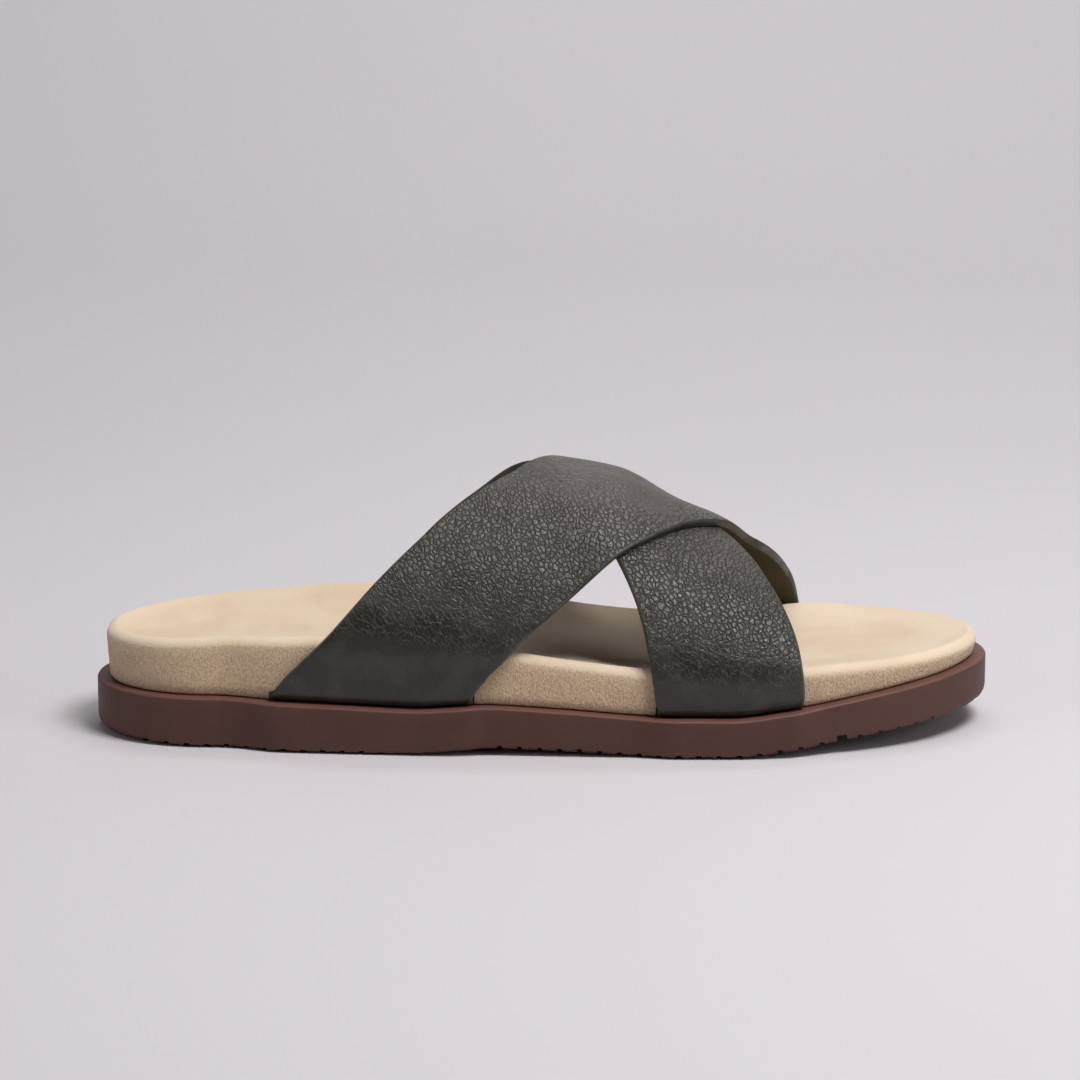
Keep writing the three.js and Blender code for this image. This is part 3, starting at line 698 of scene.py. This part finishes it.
def tread_tree():
    """Cuts a row of zigzag grooves across the underside, each as deep as asked below the sole there."""
    tree, given, out = new_group(
        "GeometryNodeTree",
        "Tread grooves",
        [
            ("Sole", "NodeSocketGeometry", None),
            ("First groove", "NodeSocketFloat", 0.0),
            ("Grooves", "NodeSocketInt", 10),
            ("Pitch", "NodeSocketFloat", 6.2 * mm),
            ("Width", "NodeSocketFloat", 1.6 * mm),
            ("Depth", "NodeSocketFloat", 1.2 * mm),
            ("Swing", "NodeSocketFloat", 3 * mm),
            ("Half wave", "NodeSocketFloat", 20 * mm),
            ("Unevenness", "NodeSocketFloat", 0.2 * mm),
            ("Seed", "NodeSocketInt", 7),
            ("Rubber", "NodeSocketMaterial", None),
        ],
        [("Sole", "NodeSocketGeometry")],
    )
    bends = 6
    half_wave = given.outputs["Half wave"]
    across = add_node(tree, "ShaderNodeCombineXYZ", {"Y": half_wave})
    back = add_node(tree, "ShaderNodeCombineXYZ", {"Y": math_node(tree, "MULTIPLY", half_wave, -bends / 2)})
    line = add_node(
        tree,
        "GeometryNodeMeshLine",
        {"Count": bends + 1, "Start Location": back.outputs[0], "Offset": across.outputs[0]},
    )
    index = add_node(tree, "GeometryNodeInputIndex").outputs[0]
    parity = math_node(tree, "SUBTRACT", math_node(tree, "MODULO", index, 2.0), 0.5)
    swing = math_node(tree, "MULTIPLY", parity, given.outputs["Swing"])
    sway = add_node(tree, "ShaderNodeCombineXYZ", {"X": swing})
    moved = {"Geometry": line.outputs[0], "Offset": sway.outputs[0]}
    zigzag = add_node(tree, "GeometryNodeSetPosition", moved)
    path = add_node(tree, "GeometryNodeMeshToCurve", {"Mesh": zigzag.outputs[0]})
    upright = add_node(tree, "GeometryNodeSetCurveNormal", {"Curve": path.outputs[0]})
    upright.mode = "Z_UP"
    profile = add_node(
        tree,
        "GeometryNodeCurvePrimitiveQuadrilateral",
        {"Width": given.outputs["Width"], "Height": math_node(tree, "MULTIPLY", given.outputs["Depth"], 2.0)},
    )
    bar = add_node(
        tree,
        "GeometryNodeCurveToMesh",
        {"Curve": upright.outputs[0], "Profile Curve": profile.outputs[0], "Fill Caps": True},
    )
    well_below = -20 * mm
    start = add_node(tree, "ShaderNodeCombineXYZ", {"X": given.outputs["First groove"], "Z": well_below})
    step = add_node(tree, "ShaderNodeCombineXYZ", {"X": given.outputs["Pitch"]})
    places = add_node(
        tree,
        "GeometryNodeMeshLine",
        {"Count": given.outputs["Grooves"], "Start Location": start.outputs[0], "Offset": step.outputs[0]},
    )
    upwards = {"Ray Direction": (0.0, 0.0, 1.0), "Ray Length": 100 * mm}
    underside = add_node(tree, "GeometryNodeRaycast", {"Target Geometry": given.outputs["Sole"], **upwards})
    uneven = add_node(tree, "FunctionNodeRandomValue", {"Seed": given.outputs["Seed"]}, data_type="FLOAT")
    fall = math_node(tree, "MULTIPLY", uneven.outputs["Value"], given.outputs["Unevenness"])
    dip = add_node(tree, "ShaderNodeCombineXYZ", {"Z": fall})
    found = {"Position": underside.outputs["Hit Position"], "Offset": dip.outputs[0]}
    dropped = add_node(tree, "GeometryNodeSetPosition", {"Geometry": places.outputs[0], **found})
    copies = {"Points": dropped.outputs[0], "Instance": bar.outputs[0]}
    bars = add_node(tree, "GeometryNodeInstanceOnPoints", copies)
    solid = add_node(tree, "GeometryNodeRealizeInstances", {"Geometry": bars.outputs[0]})
    cut = add_node(tree, "GeometryNodeMeshBoolean", operation="DIFFERENCE", solver="EXACT")
    tree.links.new(given.outputs["Sole"], cut.inputs["Mesh 1"])
    tree.links.new(solid.outputs[0], cut.inputs["Mesh 2"])
    whole = add_node(tree, "GeometryNodeRealizeInstances", {"Geometry": cut.outputs["Mesh"]})
    coated = {"Geometry": whole.outputs[0], "Material": given.outputs["Rubber"]}
    finished = add_node(tree, "GeometryNodeSetMaterial", coated)
    tree.links.new(finished.outputs[0], out.inputs["Sole"])
    return tree


def add_geometry(piece, tree, **inputs):
    """A Geometry Nodes modifier whose inputs are set by their sockets' identifiers."""
    modifier = piece.modifiers.new(tree.name, "NODES")
    modifier.node_group = tree
    for item in tree.interface.items_tree:
        key = item.name.replace(" ", "_").lower()
        if item.item_type == "SOCKET" and item.in_out == "INPUT" and key in inputs:
            modifier[item.identifier] = inputs[key]
    return modifier


# What a user may change


def length(name, description, default):
    said = dict(name=name, description=description, default=default)
    return bpy.props.FloatProperty(**said, min=0.0, unit="LENGTH", precision=4)


def colour(name, description, default):
    said = dict(name=name, description=description, default=default)
    return bpy.props.FloatVectorProperty(**said, size=3, min=0.0, max=1.0, subtype="COLOR")


class SandalSizes(bpy.types.PropertyGroup):
    """Sizes that can change without leaving the frame."""

    leather: length("Leather", "Thickness of the straps", 2.6 * mm)
    edge_radius: length("Strap edge", "Radius of the straps' cut edges", 0.7 * mm)
    strap_air: length("Air under the crossing", "Gap between the two straps where they cross", 0.15 * mm)
    rim_radius: length("Footbed rim", "Radius of the footbed's rim", 3 * mm)
    lip_width: length("Lip", "How far the outsole stands out past the footbed", 4 * mm)
    strap_bulge: length("Strap bulge", "How much further the lip stands out beside a strap", 2.2 * mm)
    bulge_run: length("Bulge run", "Length of each end of the bulge", 14 * mm)
    lip_radius: length("Lip edge", "Radius of the lip's upper edge", 0.7 * mm)
    tread_inset: length("Tread inset", "How far the tread lies inside the outsole's side", 1.8 * mm)
    tread_height: length("Tread height", "How far the outsole's side stops short of the tread", 0.8 * mm)
    groove_pitch: length("Groove pitch", "Distance from one tread groove to the next", 6.2 * mm)
    groove_width: length("Groove width", "Width of a tread groove", 1.6 * mm)
    groove_depth: length("Groove depth", "Depth of a tread groove", 1.2 * mm)
    groove_swing: length("Groove zigzag", "Sideways swing of a tread groove", 3 * mm)


class SandalFinish(bpy.types.PropertyGroup):
    """Colours and grain."""

    leather: colour("Leather", "Colour of the pebbles", shade(31, 29, 21))
    # The paler colour: reached higher up on the straps as painted light, and in random patches as the
    # leather's own tone
    leather_paler_lit_and_patchy: colour("Leather, paler", "Colour of its paler patches", shade(82, 79, 70))
    # Painted shade for the cracks between the pebbles
    leather_crack_shade: colour("Cracks", "Colour between the pebbles", shade(14, 13, 11))
    # Painted glint on the fine ridges low on the straps
    leather_line_glint: colour("Lines", "Colour of the fine lines low on the straps", shade(92, 88, 76))
    edge_paint: colour("Edge paint", "Colour of the straps' cut edges", shade(74, 73, 65))
    lining: colour("Lining", "Colour of the straps' inside", shade(58, 50, 34))
    lining_worn: colour("Lining, paler", "Colour of the lining's paler patches", shade(70, 62, 44))
    suede: colour("Suede", "Colour of the footbed's top", shade(223, 202, 176))
    suede_mottle: colour("Suede, mottled", "Colour of its warmer patches", shade(214, 190, 162))
    # Painted light: a separate colour for the upright sides, standing in for how they are lit
    suede_side: colour("Suede, side", "Colour of the footbed's side", shade(232, 201, 166))
    # Paler rim colour: partly worn suede, partly a painted highlight
    suede_rim_worn_and_lit: colour("Suede, rim", "Colour of its rubbed rim", shade(232, 216, 192))
    # Painted shade in the pits between the suede's grains
    suede_pit_shade: colour("Suede, pits", "Colour between its grains", shade(128, 98, 70))
    rubber: colour("Rubber", "Colour of the outsole", shade(78, 49, 43))
    rubber_worn: colour("Rubber, paler", "Colour of its paler patches", shade(88, 58, 50))
    # Painted highlight along the lip's rounded upper edge
    rubber_rim: colour("Rubber, rim", "Colour of its rubbed upper edge", shade(132, 92, 82))
    floor: colour("Floor", "Colour of the studio floor", shade(204, 202, 206))
    pebble_size: length("Pebbles", "Size of the leather's pebbles", 1.6 * mm)


# Pieces

SOLE_STATIONS = 240
FOOTBED_STATIONS = 130
STRAP_ROWS = 200
STRAP_COLUMNS = 30
CORNER_STEPS = 3
FOLD_STEPS = 4
RAGGED = 0.3 * mm  # the swing of the side's lower edge
END_ROUNDING = 2.6 * mm  # of the side's lower edge round the heel and the toe
SIDE_ROUNDING = 0.5 * mm  # and between them
TREAD_BEVEL = 0.2 * mm
SAME_POINT = 0.001 * mm
SHARP_RUBBER = math.radians(50)
SHARP_SUEDE = math.radians(60)

# Tread zones: where the grooves start and end, as shares of the footbed's length
TREAD = [
    dict(start=0.05, end=0.3, wider=1.0, deeper=1.0),
    dict(start=0.45, end=0.815, wider=1.0, deeper=1.0),
    dict(start=0.83, end=0.83, wider=2.0, deeper=1.8),
    dict(start=0.85, end=0.95, wider=1.0, deeper=1.0),
]

# Soft troughs pressed into the straps: way round, share across, then length along the foot and width
CREASES = [
    dict(strap="over", way=0.4, share=0.55, long=16 * mm, wide=3 * mm, depth=0.3 * mm),
    dict(strap="over", way=0.47, share=0.4, long=20 * mm, wide=3.5 * mm, depth=0.35 * mm),
    dict(strap="over", way=0.56, share=0.62, long=15 * mm, wide=3 * mm, depth=0.3 * mm),
    dict(strap="over", way=0.16, share=0.5, long=26 * mm, wide=5 * mm, depth=0.3 * mm),
    dict(strap="under", way=0.3, share=0.6, long=17 * mm, wide=3 * mm, depth=0.25 * mm),
    dict(strap="under", way=0.62, share=0.45, long=18 * mm, wide=3.5 * mm, depth=0.3 * mm),
    dict(strap="under", way=0.13, share=0.5, long=22 * mm, wide=4.5 * mm, depth=0.25 * mm),
]

LAMP_TINT = (1.0, 0.985, 0.975)
CAMERA_AT = (-1.1 * mm, -1100.9 * mm, 265 * mm)
CAMERA_DIP = math.radians(10.62)
CAMERA_LENS = 117.2

OUTSIDE, EDGE, LINING = 0, 1, 2  # a strap's three materials, in their order on it


def ragged(x):
    """A fixed unevenness between about -1 and 1, of a few millimetres' wavelength."""
    waves = [(0.83, 0.3), (1.37, 1.9), (2.21, 4.1), (3.6, 2.6)]
    return sum(np.sin(rate * x / mm + phase) for rate, phase in waves) / len(waves)


def strap_section(sizes):
    """A strap's section as a closed loop: the share across, a step along x, the height and the material."""
    radius, leather = sizes.edge_radius, sizes.leather
    flat = np.linspace(0, 1, STRAP_COLUMNS + 1)
    turn = np.linspace(0, np.pi / 2, CORNER_STEPS + 1)[1:]
    places = [(share, radius * (1 - 2 * share), leather, OUTSIDE) for share in flat]
    places += [(1, -radius * (1 - math.sin(a)), leather - radius * (1 - math.cos(a)), EDGE) for a in turn]
    places += [(1, -radius * (1 - math.cos(a)), radius * (1 - math.sin(a)), EDGE) for a in turn[:-1]]
    places += [(share, radius * (1 - 2 * share), 0.0, LINING) for share in flat[::-1]]
    places += [(0, radius * (1 - math.sin(a)), radius * (1 - math.cos(a)), EDGE) for a in turn]
    places += [(0, radius * (1 - math.cos(a)), leather - radius * (1 - math.sin(a)), EDGE) for a in turn[:-1]]
    return np.array(places)


def ride_height(x, way, sizes):
    """How high the upper strap rides on the lower one at a place on the last."""
    rear, front = strap_edge(UNDER_STRAP["rear"], way), strap_edge(UNDER_STRAP["front"], way)
    away = np.maximum(0, np.maximum(rear - x, x - front))
    return (sizes.leather + sizes.strap_air) * (1 - smoothstep(away, 0, BRIDGE_LENGTH))


def unrolling(sizes):
    """How far a place on the last is from the outer edge of the sole, along the leather, as a function."""
    xs = np.linspace(0.15, 0.9, 76) * FOOTBED_LENGTH
    ways = np.linspace(0, 1, 241)
    points = last_surface(*np.meshgrid(xs, ways, indexing="ij"), sizes.rim_radius)
    steps = np.linalg.norm(np.diff(points, axis=1), axis=-1)
    lengths = np.concatenate([np.zeros((len(xs), 1)), np.cumsum(steps, axis=1)], axis=1)

    def distance(x, way):
        across = np.clip((x - xs[0]) / (xs[1] - xs[0]), 0, len(xs) - 1.001)
        along = np.clip(way / (ways[1] - ways[0]), 0, len(ways) - 1.001)
        i, j = across.astype(int), along.astype(int)
        u, v = across - i, along - j
        near = lerp(lengths[i, j], lengths[i, j + 1], v)
        far = lerp(lengths[i + 1, j], lengths[i + 1, j + 1], v)
        return lerp(near, far, u)

    return distance


def make_strap(name, strap, edges, sizes):
    """A strap as a closed tube from one lasted end over the foot to the other."""
    section = strap_section(sizes)
    share, inset, height = section[:, 0], section[:, 1], section[:, 2]
    columns = len(section)
    distance = unrolling(sizes)

    def across(way):
        rear, front = strap_edge(edges["rear"], way), strap_edge(edges["front"], way)
        return rear + (front - rear) * share + inset

    def fold(side):
        """The end's turn under the footbed, from its tip outwards: the points and their unrolled places."""
        found = []
        for k in [None, *range(FOLD_STEPS + 1)]:
            turned = 0.0 if k is None else math.pi / 2 * k / FOLD_STEPS
            outward, down = math.sin(turned), math.cos(turned)
            climbed = 1 - down if k else 1  # under the footbed the edges keep the place of the turn's top
            share_of_way = FOLD_WAY * climbed
            way = np.full(columns, share_of_way if side < 0 else 1 - share_of_way)
            x = across(way)
            floor = sole_top(x) + GAP
            foot = edge_y(x, side) + side * GAP
            shoulder = rim_top(x, side) - sizes.rim_radius
            z = floor + sizes.leather
            y = foot + side * WALL_FLARE * (z + FOLD_RADIUS - floor) / (shoulder - floor)
            end = distance(x, way)
            if k is None:
                points = np.stack([x, y - side * LASTING_MARGIN, z - height], axis=-1)
                found.append((points, np.stack([x, end + side * LASTING_MARGIN], axis=-1)))
                continue
            turned_y = y + side * (outward * (height + FOLD_RADIUS) - FOLD_RADIUS)
            turned_z = z + FOLD_RADIUS - down * (height + FOLD_RADIUS)
            flat = end + side * (FOLD_STEPS - k) * FOLD_RADIUS
            found.append((np.stack([x, turned_y, turned_z], axis=-1), np.stack([x, flat], axis=-1)))
        return found

    ways = np.linspace(BODY_START, 1 - BODY_START, STRAP_ROWS + 1)[:, None] * np.ones(columns)
    x = across(ways)
    flat = np.stack([x, distance(x, ways)], axis=-1)
    normal = last_normal(x, ways, sizes.rim_radius)
    lift = ride_height(x, ways, sizes) if strap == "over" else np.zeros_like(x)
    for crease in CREASES:
        if crease["strap"] == strap:
            way = np.array(crease["way"])
            rear, front = strap_edge(edges["rear"], way), strap_edge(edges["front"], way)
            centre_x = lerp(rear, front, crease["share"])
            off_x, off_way = flat[..., 0] - centre_x, flat[..., 1] - distance(centre_x, way)
            near = np.exp(-((off_x / crease["long"]) ** 2) - (off_way / crease["wide"]) ** 2)
            lift = lift - crease["depth"] * near * height / sizes.leather
    points = last_surface(x, ways, sizes.rim_radius) + normal * (height + lift)[..., None]
    rows = fold(-1) + list(zip(points, flat)) + fold(1)[::-1]

    faces = tube_faces(len(rows), columns)
    last = (len(rows) - 1) * columns
    faces += [tuple(range(columns)), tuple(last + c for c in reversed(range(columns)))]
    piece = make_piece(name, np.concatenate([row for row, _ in rows]), faces)
    unrolled = np.concatenate([place for _, place in rows])
    corners = np.empty(len(piece.data.loops), dtype=np.int32)
    piece.data.loops.foreach_get("vertex_index", corners)
    layer = piece.data.uv_layers.new(name="unrolled")
    layer.data.foreach_set("uv", unrolled[corners].astype(np.float32).ravel())
    kinds = section[:, 3].astype(int)
    kinds = np.where(kinds == np.roll(kinds, -1), kinds, EDGE)
    materials = np.concatenate([np.tile(kinds, len(rows) - 1), [EDGE, EDGE]])
    piece.data.polygons.foreach_set("material_index", materials.astype(np.int32))
    return piece


def lasting_pocket(edges, side, sizes):
    """The room that a strap's lasted ends need in the underside of the footbed."""
    way = FOLD_WAY if side < 0 else 1 - FOLD_WAY
    rear, front = strap_edge(edges["rear"], way), strap_edge(edges["front"], way)
    x = np.linspace(rear - GAP, front + GAP, STRAP_COLUMNS + 1)
    floor = sole_top(x) + GAP
    outside = edge_y(x, side) + side * 2 * sizes.lip_width
    inside = edge_y(x, side) - side * (LASTING_MARGIN + GAP)
    low, high = floor - sizes.leather, floor + sizes.leather + GAP
    corners = [(outside, low), (outside, high), (inside, high), (inside, low)]
    rows = np.stack([np.stack([x, y, z], axis=-1) for y, z in corners], axis=1)
    faces = tube_faces(len(x), 4)
    faces += [(0, 1, 2, 3), tuple((len(x) - 1) * 4 + c for c in (3, 2, 1, 0))]
    return make_piece("pocket", rows.reshape(-1, 3), faces)


def store(piece, name, values):
    """Keeps one number for each point of the piece, for its material."""
    layer = piece.data.attributes.new(name, "FLOAT", "POINT")
    layer.data.foreach_set("value", np.asarray(values, dtype=np.float32))


def points_of(piece):
    flat = np.empty(3 * len(piece.data.vertices), dtype=np.float32)
    piece.data.vertices.foreach_get("co", flat)
    return flat.reshape(-1, 3).astype(float) - np.array([-FOOTBED_LENGTH / 2, AXIS_Y, 0])


def normals_of(piece):
    flat = np.empty(3 * len(piece.data.vertices), dtype=np.float32)
    piece.data.vertices.foreach_get("normal", flat)
    return flat.reshape(-1, 3)


class SANDAL_OT_outsole(bpy.types.Operator):
    """Adds the rubber outsole with its lip and tread"""

    bl_idname = "sandal.outsole"
    bl_label = "Outsole"

    def execute(self, context):
        sizes, finish = context.scene.sandal_sizes, context.scene.sandal_finish
        loop = edge_loop(SOLE_STATIONS)
        x = loop["plan"][:, 0]

        def bulge(x, side):
            most = np.zeros_like(x)
            for edges in (OVER_STRAP, UNDER_STRAP):
                way = 0.0 if side < 0 else 1.0
                rear, front = strap_edge(edges["rear"], way), strap_edge(edges["front"], way)
                rise = smoothstep(x, rear - 0.6 * sizes.bulge_run, rear + 0.4 * sizes.bulge_run)
                fall = smoothstep(x, front - 0.4 * sizes.bulge_run, front + 0.6 * sizes.bulge_run)
                most = np.maximum(most, rise * (1 - fall))
            return most

        spread = sizes.lip_width + sizes.strap_bulge * by_side(loop, bulge)
        near_end = np.minimum(x, FOOTBED_LENGTH - x) / FOOTBED_LENGTH
        radius = lerp(END_ROUNDING, SIDE_ROUNDING, smoothstep(near_end, 0, 0.1))
        bottom, top = sole_bottom(x), sole_top(x)
        middle = loop["middle"]
        tread_edge = spread - sizes.tread_inset
        wall_foot = bottom + sizes.tread_height + RAGGED * ragged(x + FOOTBED_LENGTH * loop["side"])
        rings = [np.column_stack([middle, sole_bottom(middle[:, 0])])]
        rings.append(ring(loop, -0.5 * sizes.lip_width, bottom))
        rings.append(ring(loop, tread_edge - TREAD_BEVEL, bottom))
        rings.append(ring(loop, tread_edge, bottom + TREAD_BEVEL))
        rings.append(ring(loop, tread_edge, wall_foot))
        for angle in np.linspace(0, np.pi / 2, 5):
            inset = np.minimum(radius, sizes.tread_inset) * (1 - math.sin(angle))
            rings.append(ring(loop, spread - inset, wall_foot + radius * (1 - math.cos(angle))))
        low, high = bottom + sizes.tread_height + radius, top - sizes.lip_radius
        for share in (0.25, 0.5, 0.75):
            rings.append(ring(loop, spread, lerp(low, high, share)))
        for angle in np.linspace(0, np.pi / 2, 6):
            inset = sizes.lip_radius * (1 - math.cos(angle))
            rings.append(ring(loop, spread - inset, top - sizes.lip_radius * (1 - math.sin(angle))))
        rings.append(ring(loop, 0.3 * spread, top))
        rings.append(ring(loop, -sizes.lip_width, top))
        rings.append(np.column_stack([middle, sole_top(middle[:, 0])]))
        faces = tube_faces(len(rings), len(x))
        piece = make_piece("outsole_rubber", np.concatenate(rings), faces, merge=SAME_POINT)
        material = rubber_material(finish)
        piece.data.materials.append(material)
        tree = tread_tree()
        for zone in TREAD:
            grooves = 1 + int(round((zone["end"] - zone["start"]) * FOOTBED_LENGTH / sizes.groove_pitch))
            add_geometry(
                piece,
                tree,
                first_groove=zone["start"] * FOOTBED_LENGTH - FOOTBED_LENGTH / 2,
                grooves=grooves,
                pitch=sizes.groove_pitch,
                width=zone["wider"] * sizes.groove_width,
                depth=zone["deeper"] * sizes.groove_depth,
                swing=sizes.groove_swing,
                rubber=material,
            )
        apply_modifiers(piece)
        piece.data.set_sharp_from_angle(angle=SHARP_RUBBER)
        places = points_of(piece)
        # The rim mask: the lip's rounded upper edge, where its painted highlight goes
        rise = places[:, 2] - (sole_top(places[:, 0]) - sizes.lip_radius)
        store(piece, "rim", smoothstep(rise, -0.2 * sizes.lip_radius, 0.8 * sizes.lip_radius))
        hand_over(piece, "outsole")
        return {"FINISHED"}


class SANDAL_OT_footbed(bpy.types.Operator):
    """Adds the moulded footbed in suede"""

    bl_idname = "sandal.footbed"
    bl_label = "Footbed"

    def execute(self, context):
        sizes, finish = context.scene.sandal_sizes, context.scene.sandal_finish
        loop = edge_loop(FOOTBED_STATIONS)
        x = loop["plan"][:, 0]
        floor = sole_top(x) + GAP
        rim = by_side(loop, rim_top)
        middle = loop["middle"]
        rings = [np.column_stack([middle, sole_top(middle[:, 0]) + GAP])]
        rings.append(ring(loop, -1.5 * LASTING_MARGIN, floor))
        rings.append(ring(loop, -BOTTOM_BEVEL, floor))
        rings.append(ring(loop, 0.0, floor + BOTTOM_BEVEL))
        shoulder = rim - sizes.rim_radius
        for share in (0.2, 0.4, 0.6, 0.8):
            rings.append(ring(loop, WALL_FLARE * share, lerp(floor + BOTTOM_BEVEL, shoulder, share)))
        for angle in np.linspace(0, np.pi / 2, 9):
            distance = WALL_FLARE - sizes.rim_radius * (1 - math.cos(angle))
            rings.append(ring(loop, distance, rim - sizes.rim_radius * (1 - math.sin(angle))))
        crest = loop["plan"] + loop["out"] * (WALL_FLARE - sizes.rim_radius)
        for share in 1 - np.linspace(0, 1, 25)[1:] ** 1.25:
            plan = lerp(middle, crest, share)
            height = lerp(hollow_floor(plan[:, 0]), rim, share**2.6)
            rings.append(np.column_stack([plan, height]))
        faces = tube_faces(len(rings), len(x))
        piece = make_piece("footbed_suede", np.concatenate(rings), faces, merge=SAME_POINT)
        for edges in (OVER_STRAP, UNDER_STRAP):
            for side in (-1, 1):
                pocket = lasting_pocket(edges, side, sizes)
                cut = piece.modifiers.new("pocket", "BOOLEAN")
                cut.operation = "DIFFERENCE"
                cut.solver = "EXACT"
                cut.object = pocket
                apply_modifiers(piece)
                bpy.data.objects.remove(pocket)
        piece.data.set_sharp_from_angle(angle=SHARP_SUEDE)
        places = points_of(piece)
        at = places[:, 0]
        down = np.where(places[:, 1] < 0, rim_top(at, -1), rim_top(at, 1)) - places[:, 2]
        upright = 1 - smoothstep(normals_of(piece)[:, 2], 0.3, 0.6)
        # The side mask marks the upright suede below the rim; it carries the sides' painted light and pit
        # shade as well as their coarser grain
        store(piece, "side", smoothstep(down, 1.2 * mm, 4 * mm) * upright)
        # The rim mask: a narrow band at the rounded rim's crest, for its paler colour, partly wear and partly
        # painted highlight
        store(piece, "rim", 1 - smoothstep(np.abs(down - 0.8 * mm), 0.3 * mm, 2 * mm))
        piece.data.materials.append(suede_material(finish))
        hand_over(piece, "footbed")
        return {"FINISHED"}


class SANDAL_OT_straps(bpy.types.Operator):
    """Adds the two leather straps that cross over the instep"""

    bl_idname = "sandal.straps"
    bl_label = "Straps"

    def execute(self, context):
        sizes, finish = context.scene.sandal_sizes, context.scene.sandal_finish
        materials = [leather_material(finish), edge_material(finish), lining_material(finish)]
        straps = [("lower_strap", "under", UNDER_STRAP), ("upper_strap", "over", OVER_STRAP)]
        for name, strap, edges in straps:
            piece = make_strap(name, strap, edges, sizes)
            for material in materials:
                piece.data.materials.append(material)
            hand_over(piece, "upper")
        return {"FINISHED"}


class SANDAL_OT_stage(bpy.types.Operator):
    """Adds the pale floor, the soft studio lights and the camera"""

    bl_idname = "sandal.stage"
    bl_label = "Stage"

    def execute(self, context):
        scene = context.scene
        finish = scene.sandal_finish
        front, depth, half_width, radius, height = 2.5, 1.3, 5.0, 1.5, 4.0
        turn = np.linspace(0, np.pi / 2, 25)
        rise = [(depth + radius * math.sin(a), radius * (1 - math.cos(a))) for a in turn]
        profile = [(-front, 0.0), *rise, (depth + radius, height)]
        points = [(x, y, z) for y, z in profile for x in (-half_width, half_width)]
        faces = [(2 * k, 2 * k + 1, 2 * k + 3, 2 * k + 2) for k in range(len(profile) - 1)]
        mesh = bpy.data.meshes.new("floor")
        mesh.from_pydata(points, [], faces)
        mesh.shade_smooth()
        floor = bpy.data.objects.new("floor", mesh)
        scene.collection.objects.link(floor)
        material, tree, shader = new_material("studio_floor")
        place = add_node(tree, "ShaderNodeTexCoord").outputs["Object"]
        noise = add_node(tree, "ShaderNodeTexNoise", {"Vector": place, "Scale": 3.0, "Detail": 3.0})
        paler = tuple(min(1.0, 1.03 * v) for v in finish.floor)
        base = blend(tree, noise.outputs["Fac"], finish.floor, paler)
        tree.links.new(base, shader.inputs["Base Color"])
        shader.inputs["Roughness"].default_value = 0.75
        shader.inputs["Specular IOR Level"].default_value = 0.25
        mesh.materials.append(material)
        lamps = [
            dict(name="overhead", at=(0.2, -0.05, 1.2), look=(0, 0, 0), size=1.3, power=4.2),
            dict(name="key", at=(0.42, -0.42, 1.1), look=(0.03, 0, 0), size=0.45, power=11.5),
            dict(name="right", at=(1.6, -0.8, 0.7), look=(0.05, 0, 0), size=0.9, power=6.5),
            dict(name="left", at=(-1.5, -0.8, 0.7), look=(-0.05, 0, 0), size=0.9, power=4.4),
            dict(name="wall", at=(0.3, 1.1, 2.1), look=(0.25, 2.7, 0.9), size=1.6, power=38.0),
        ]
        for lamp in lamps:
            light = bpy.data.lights.new(lamp["name"], "AREA")
            light.shape = "SQUARE"
            light.size = lamp["size"]
            light.energy = lamp["power"]
            light.color = LAMP_TINT
            holder = bpy.data.objects.new(lamp["name"], light)
            holder.location = lamp["at"]
            aim = np.subtract(lamp["look"], lamp["at"])
            holder.rotation_euler = Vector(aim).to_track_quat("-Z", "Y").to_euler()
            scene.collection.objects.link(holder)
        world = bpy.data.worlds.new("studio")
        world.use_nodes = True
        sky = world.node_tree.nodes["Background"]
        sky.inputs["Color"].default_value = (0.98, 0.96, 1.0, 1.0)
        sky.inputs["Strength"].default_value = 0.05
        scene.world = world
        scene.view_settings.view_transform = "Standard"
        camera = bpy.data.cameras.new("camera")
        camera.sensor_width = 36.0
        camera.lens = CAMERA_LENS
        camera.clip_end = 20.0
        holder = bpy.data.objects.new("camera", camera)
        holder.location = CAMERA_AT
        holder.rotation_euler = (math.pi / 2 - CAMERA_DIP, 0, 0)
        scene.collection.objects.link(holder)
        scene.camera = holder
        return {"FINISHED"}


class SANDAL_PT_panel(bpy.types.Panel):
    """Lists the sandal's pieces, sizes and colours"""

    bl_idname = "SANDAL_PT_panel"
    bl_label = "Cross strap sandal"
    bl_space_type = "VIEW_3D"
    bl_region_type = "UI"
    bl_category = "Sandal"

    def draw(self, context):
        for operator in PIECES:
            self.layout.operator(operator.bl_idname)
        for group in (context.scene.sandal_sizes, context.scene.sandal_finish):
            box = self.layout.box()
            for name in type(group).__annotations__:
                box.prop(group, name)


PIECES = (SANDAL_OT_stage, SANDAL_OT_outsole, SANDAL_OT_footbed, SANDAL_OT_straps)
CLASSES = (SandalSizes, SandalFinish, *PIECES, SANDAL_PT_panel)


def register():
    for one in CLASSES:
        bpy.utils.register_class(one)
    bpy.types.Scene.sandal_sizes = bpy.props.PointerProperty(type=SandalSizes)
    bpy.types.Scene.sandal_finish = bpy.props.PointerProperty(type=SandalFinish)


def unregister():
    del bpy.types.Scene.sandal_finish
    del bpy.types.Scene.sandal_sizes
    for one in reversed(CLASSES):
        bpy.utils.unregister_class(one)


def main():
    register()
    bpy.ops.sandal.stage()
    bpy.ops.sandal.outsole()
    bpy.ops.sandal.footbed()
    bpy.ops.sandal.straps()


if __name__ == "__main__":
    main()
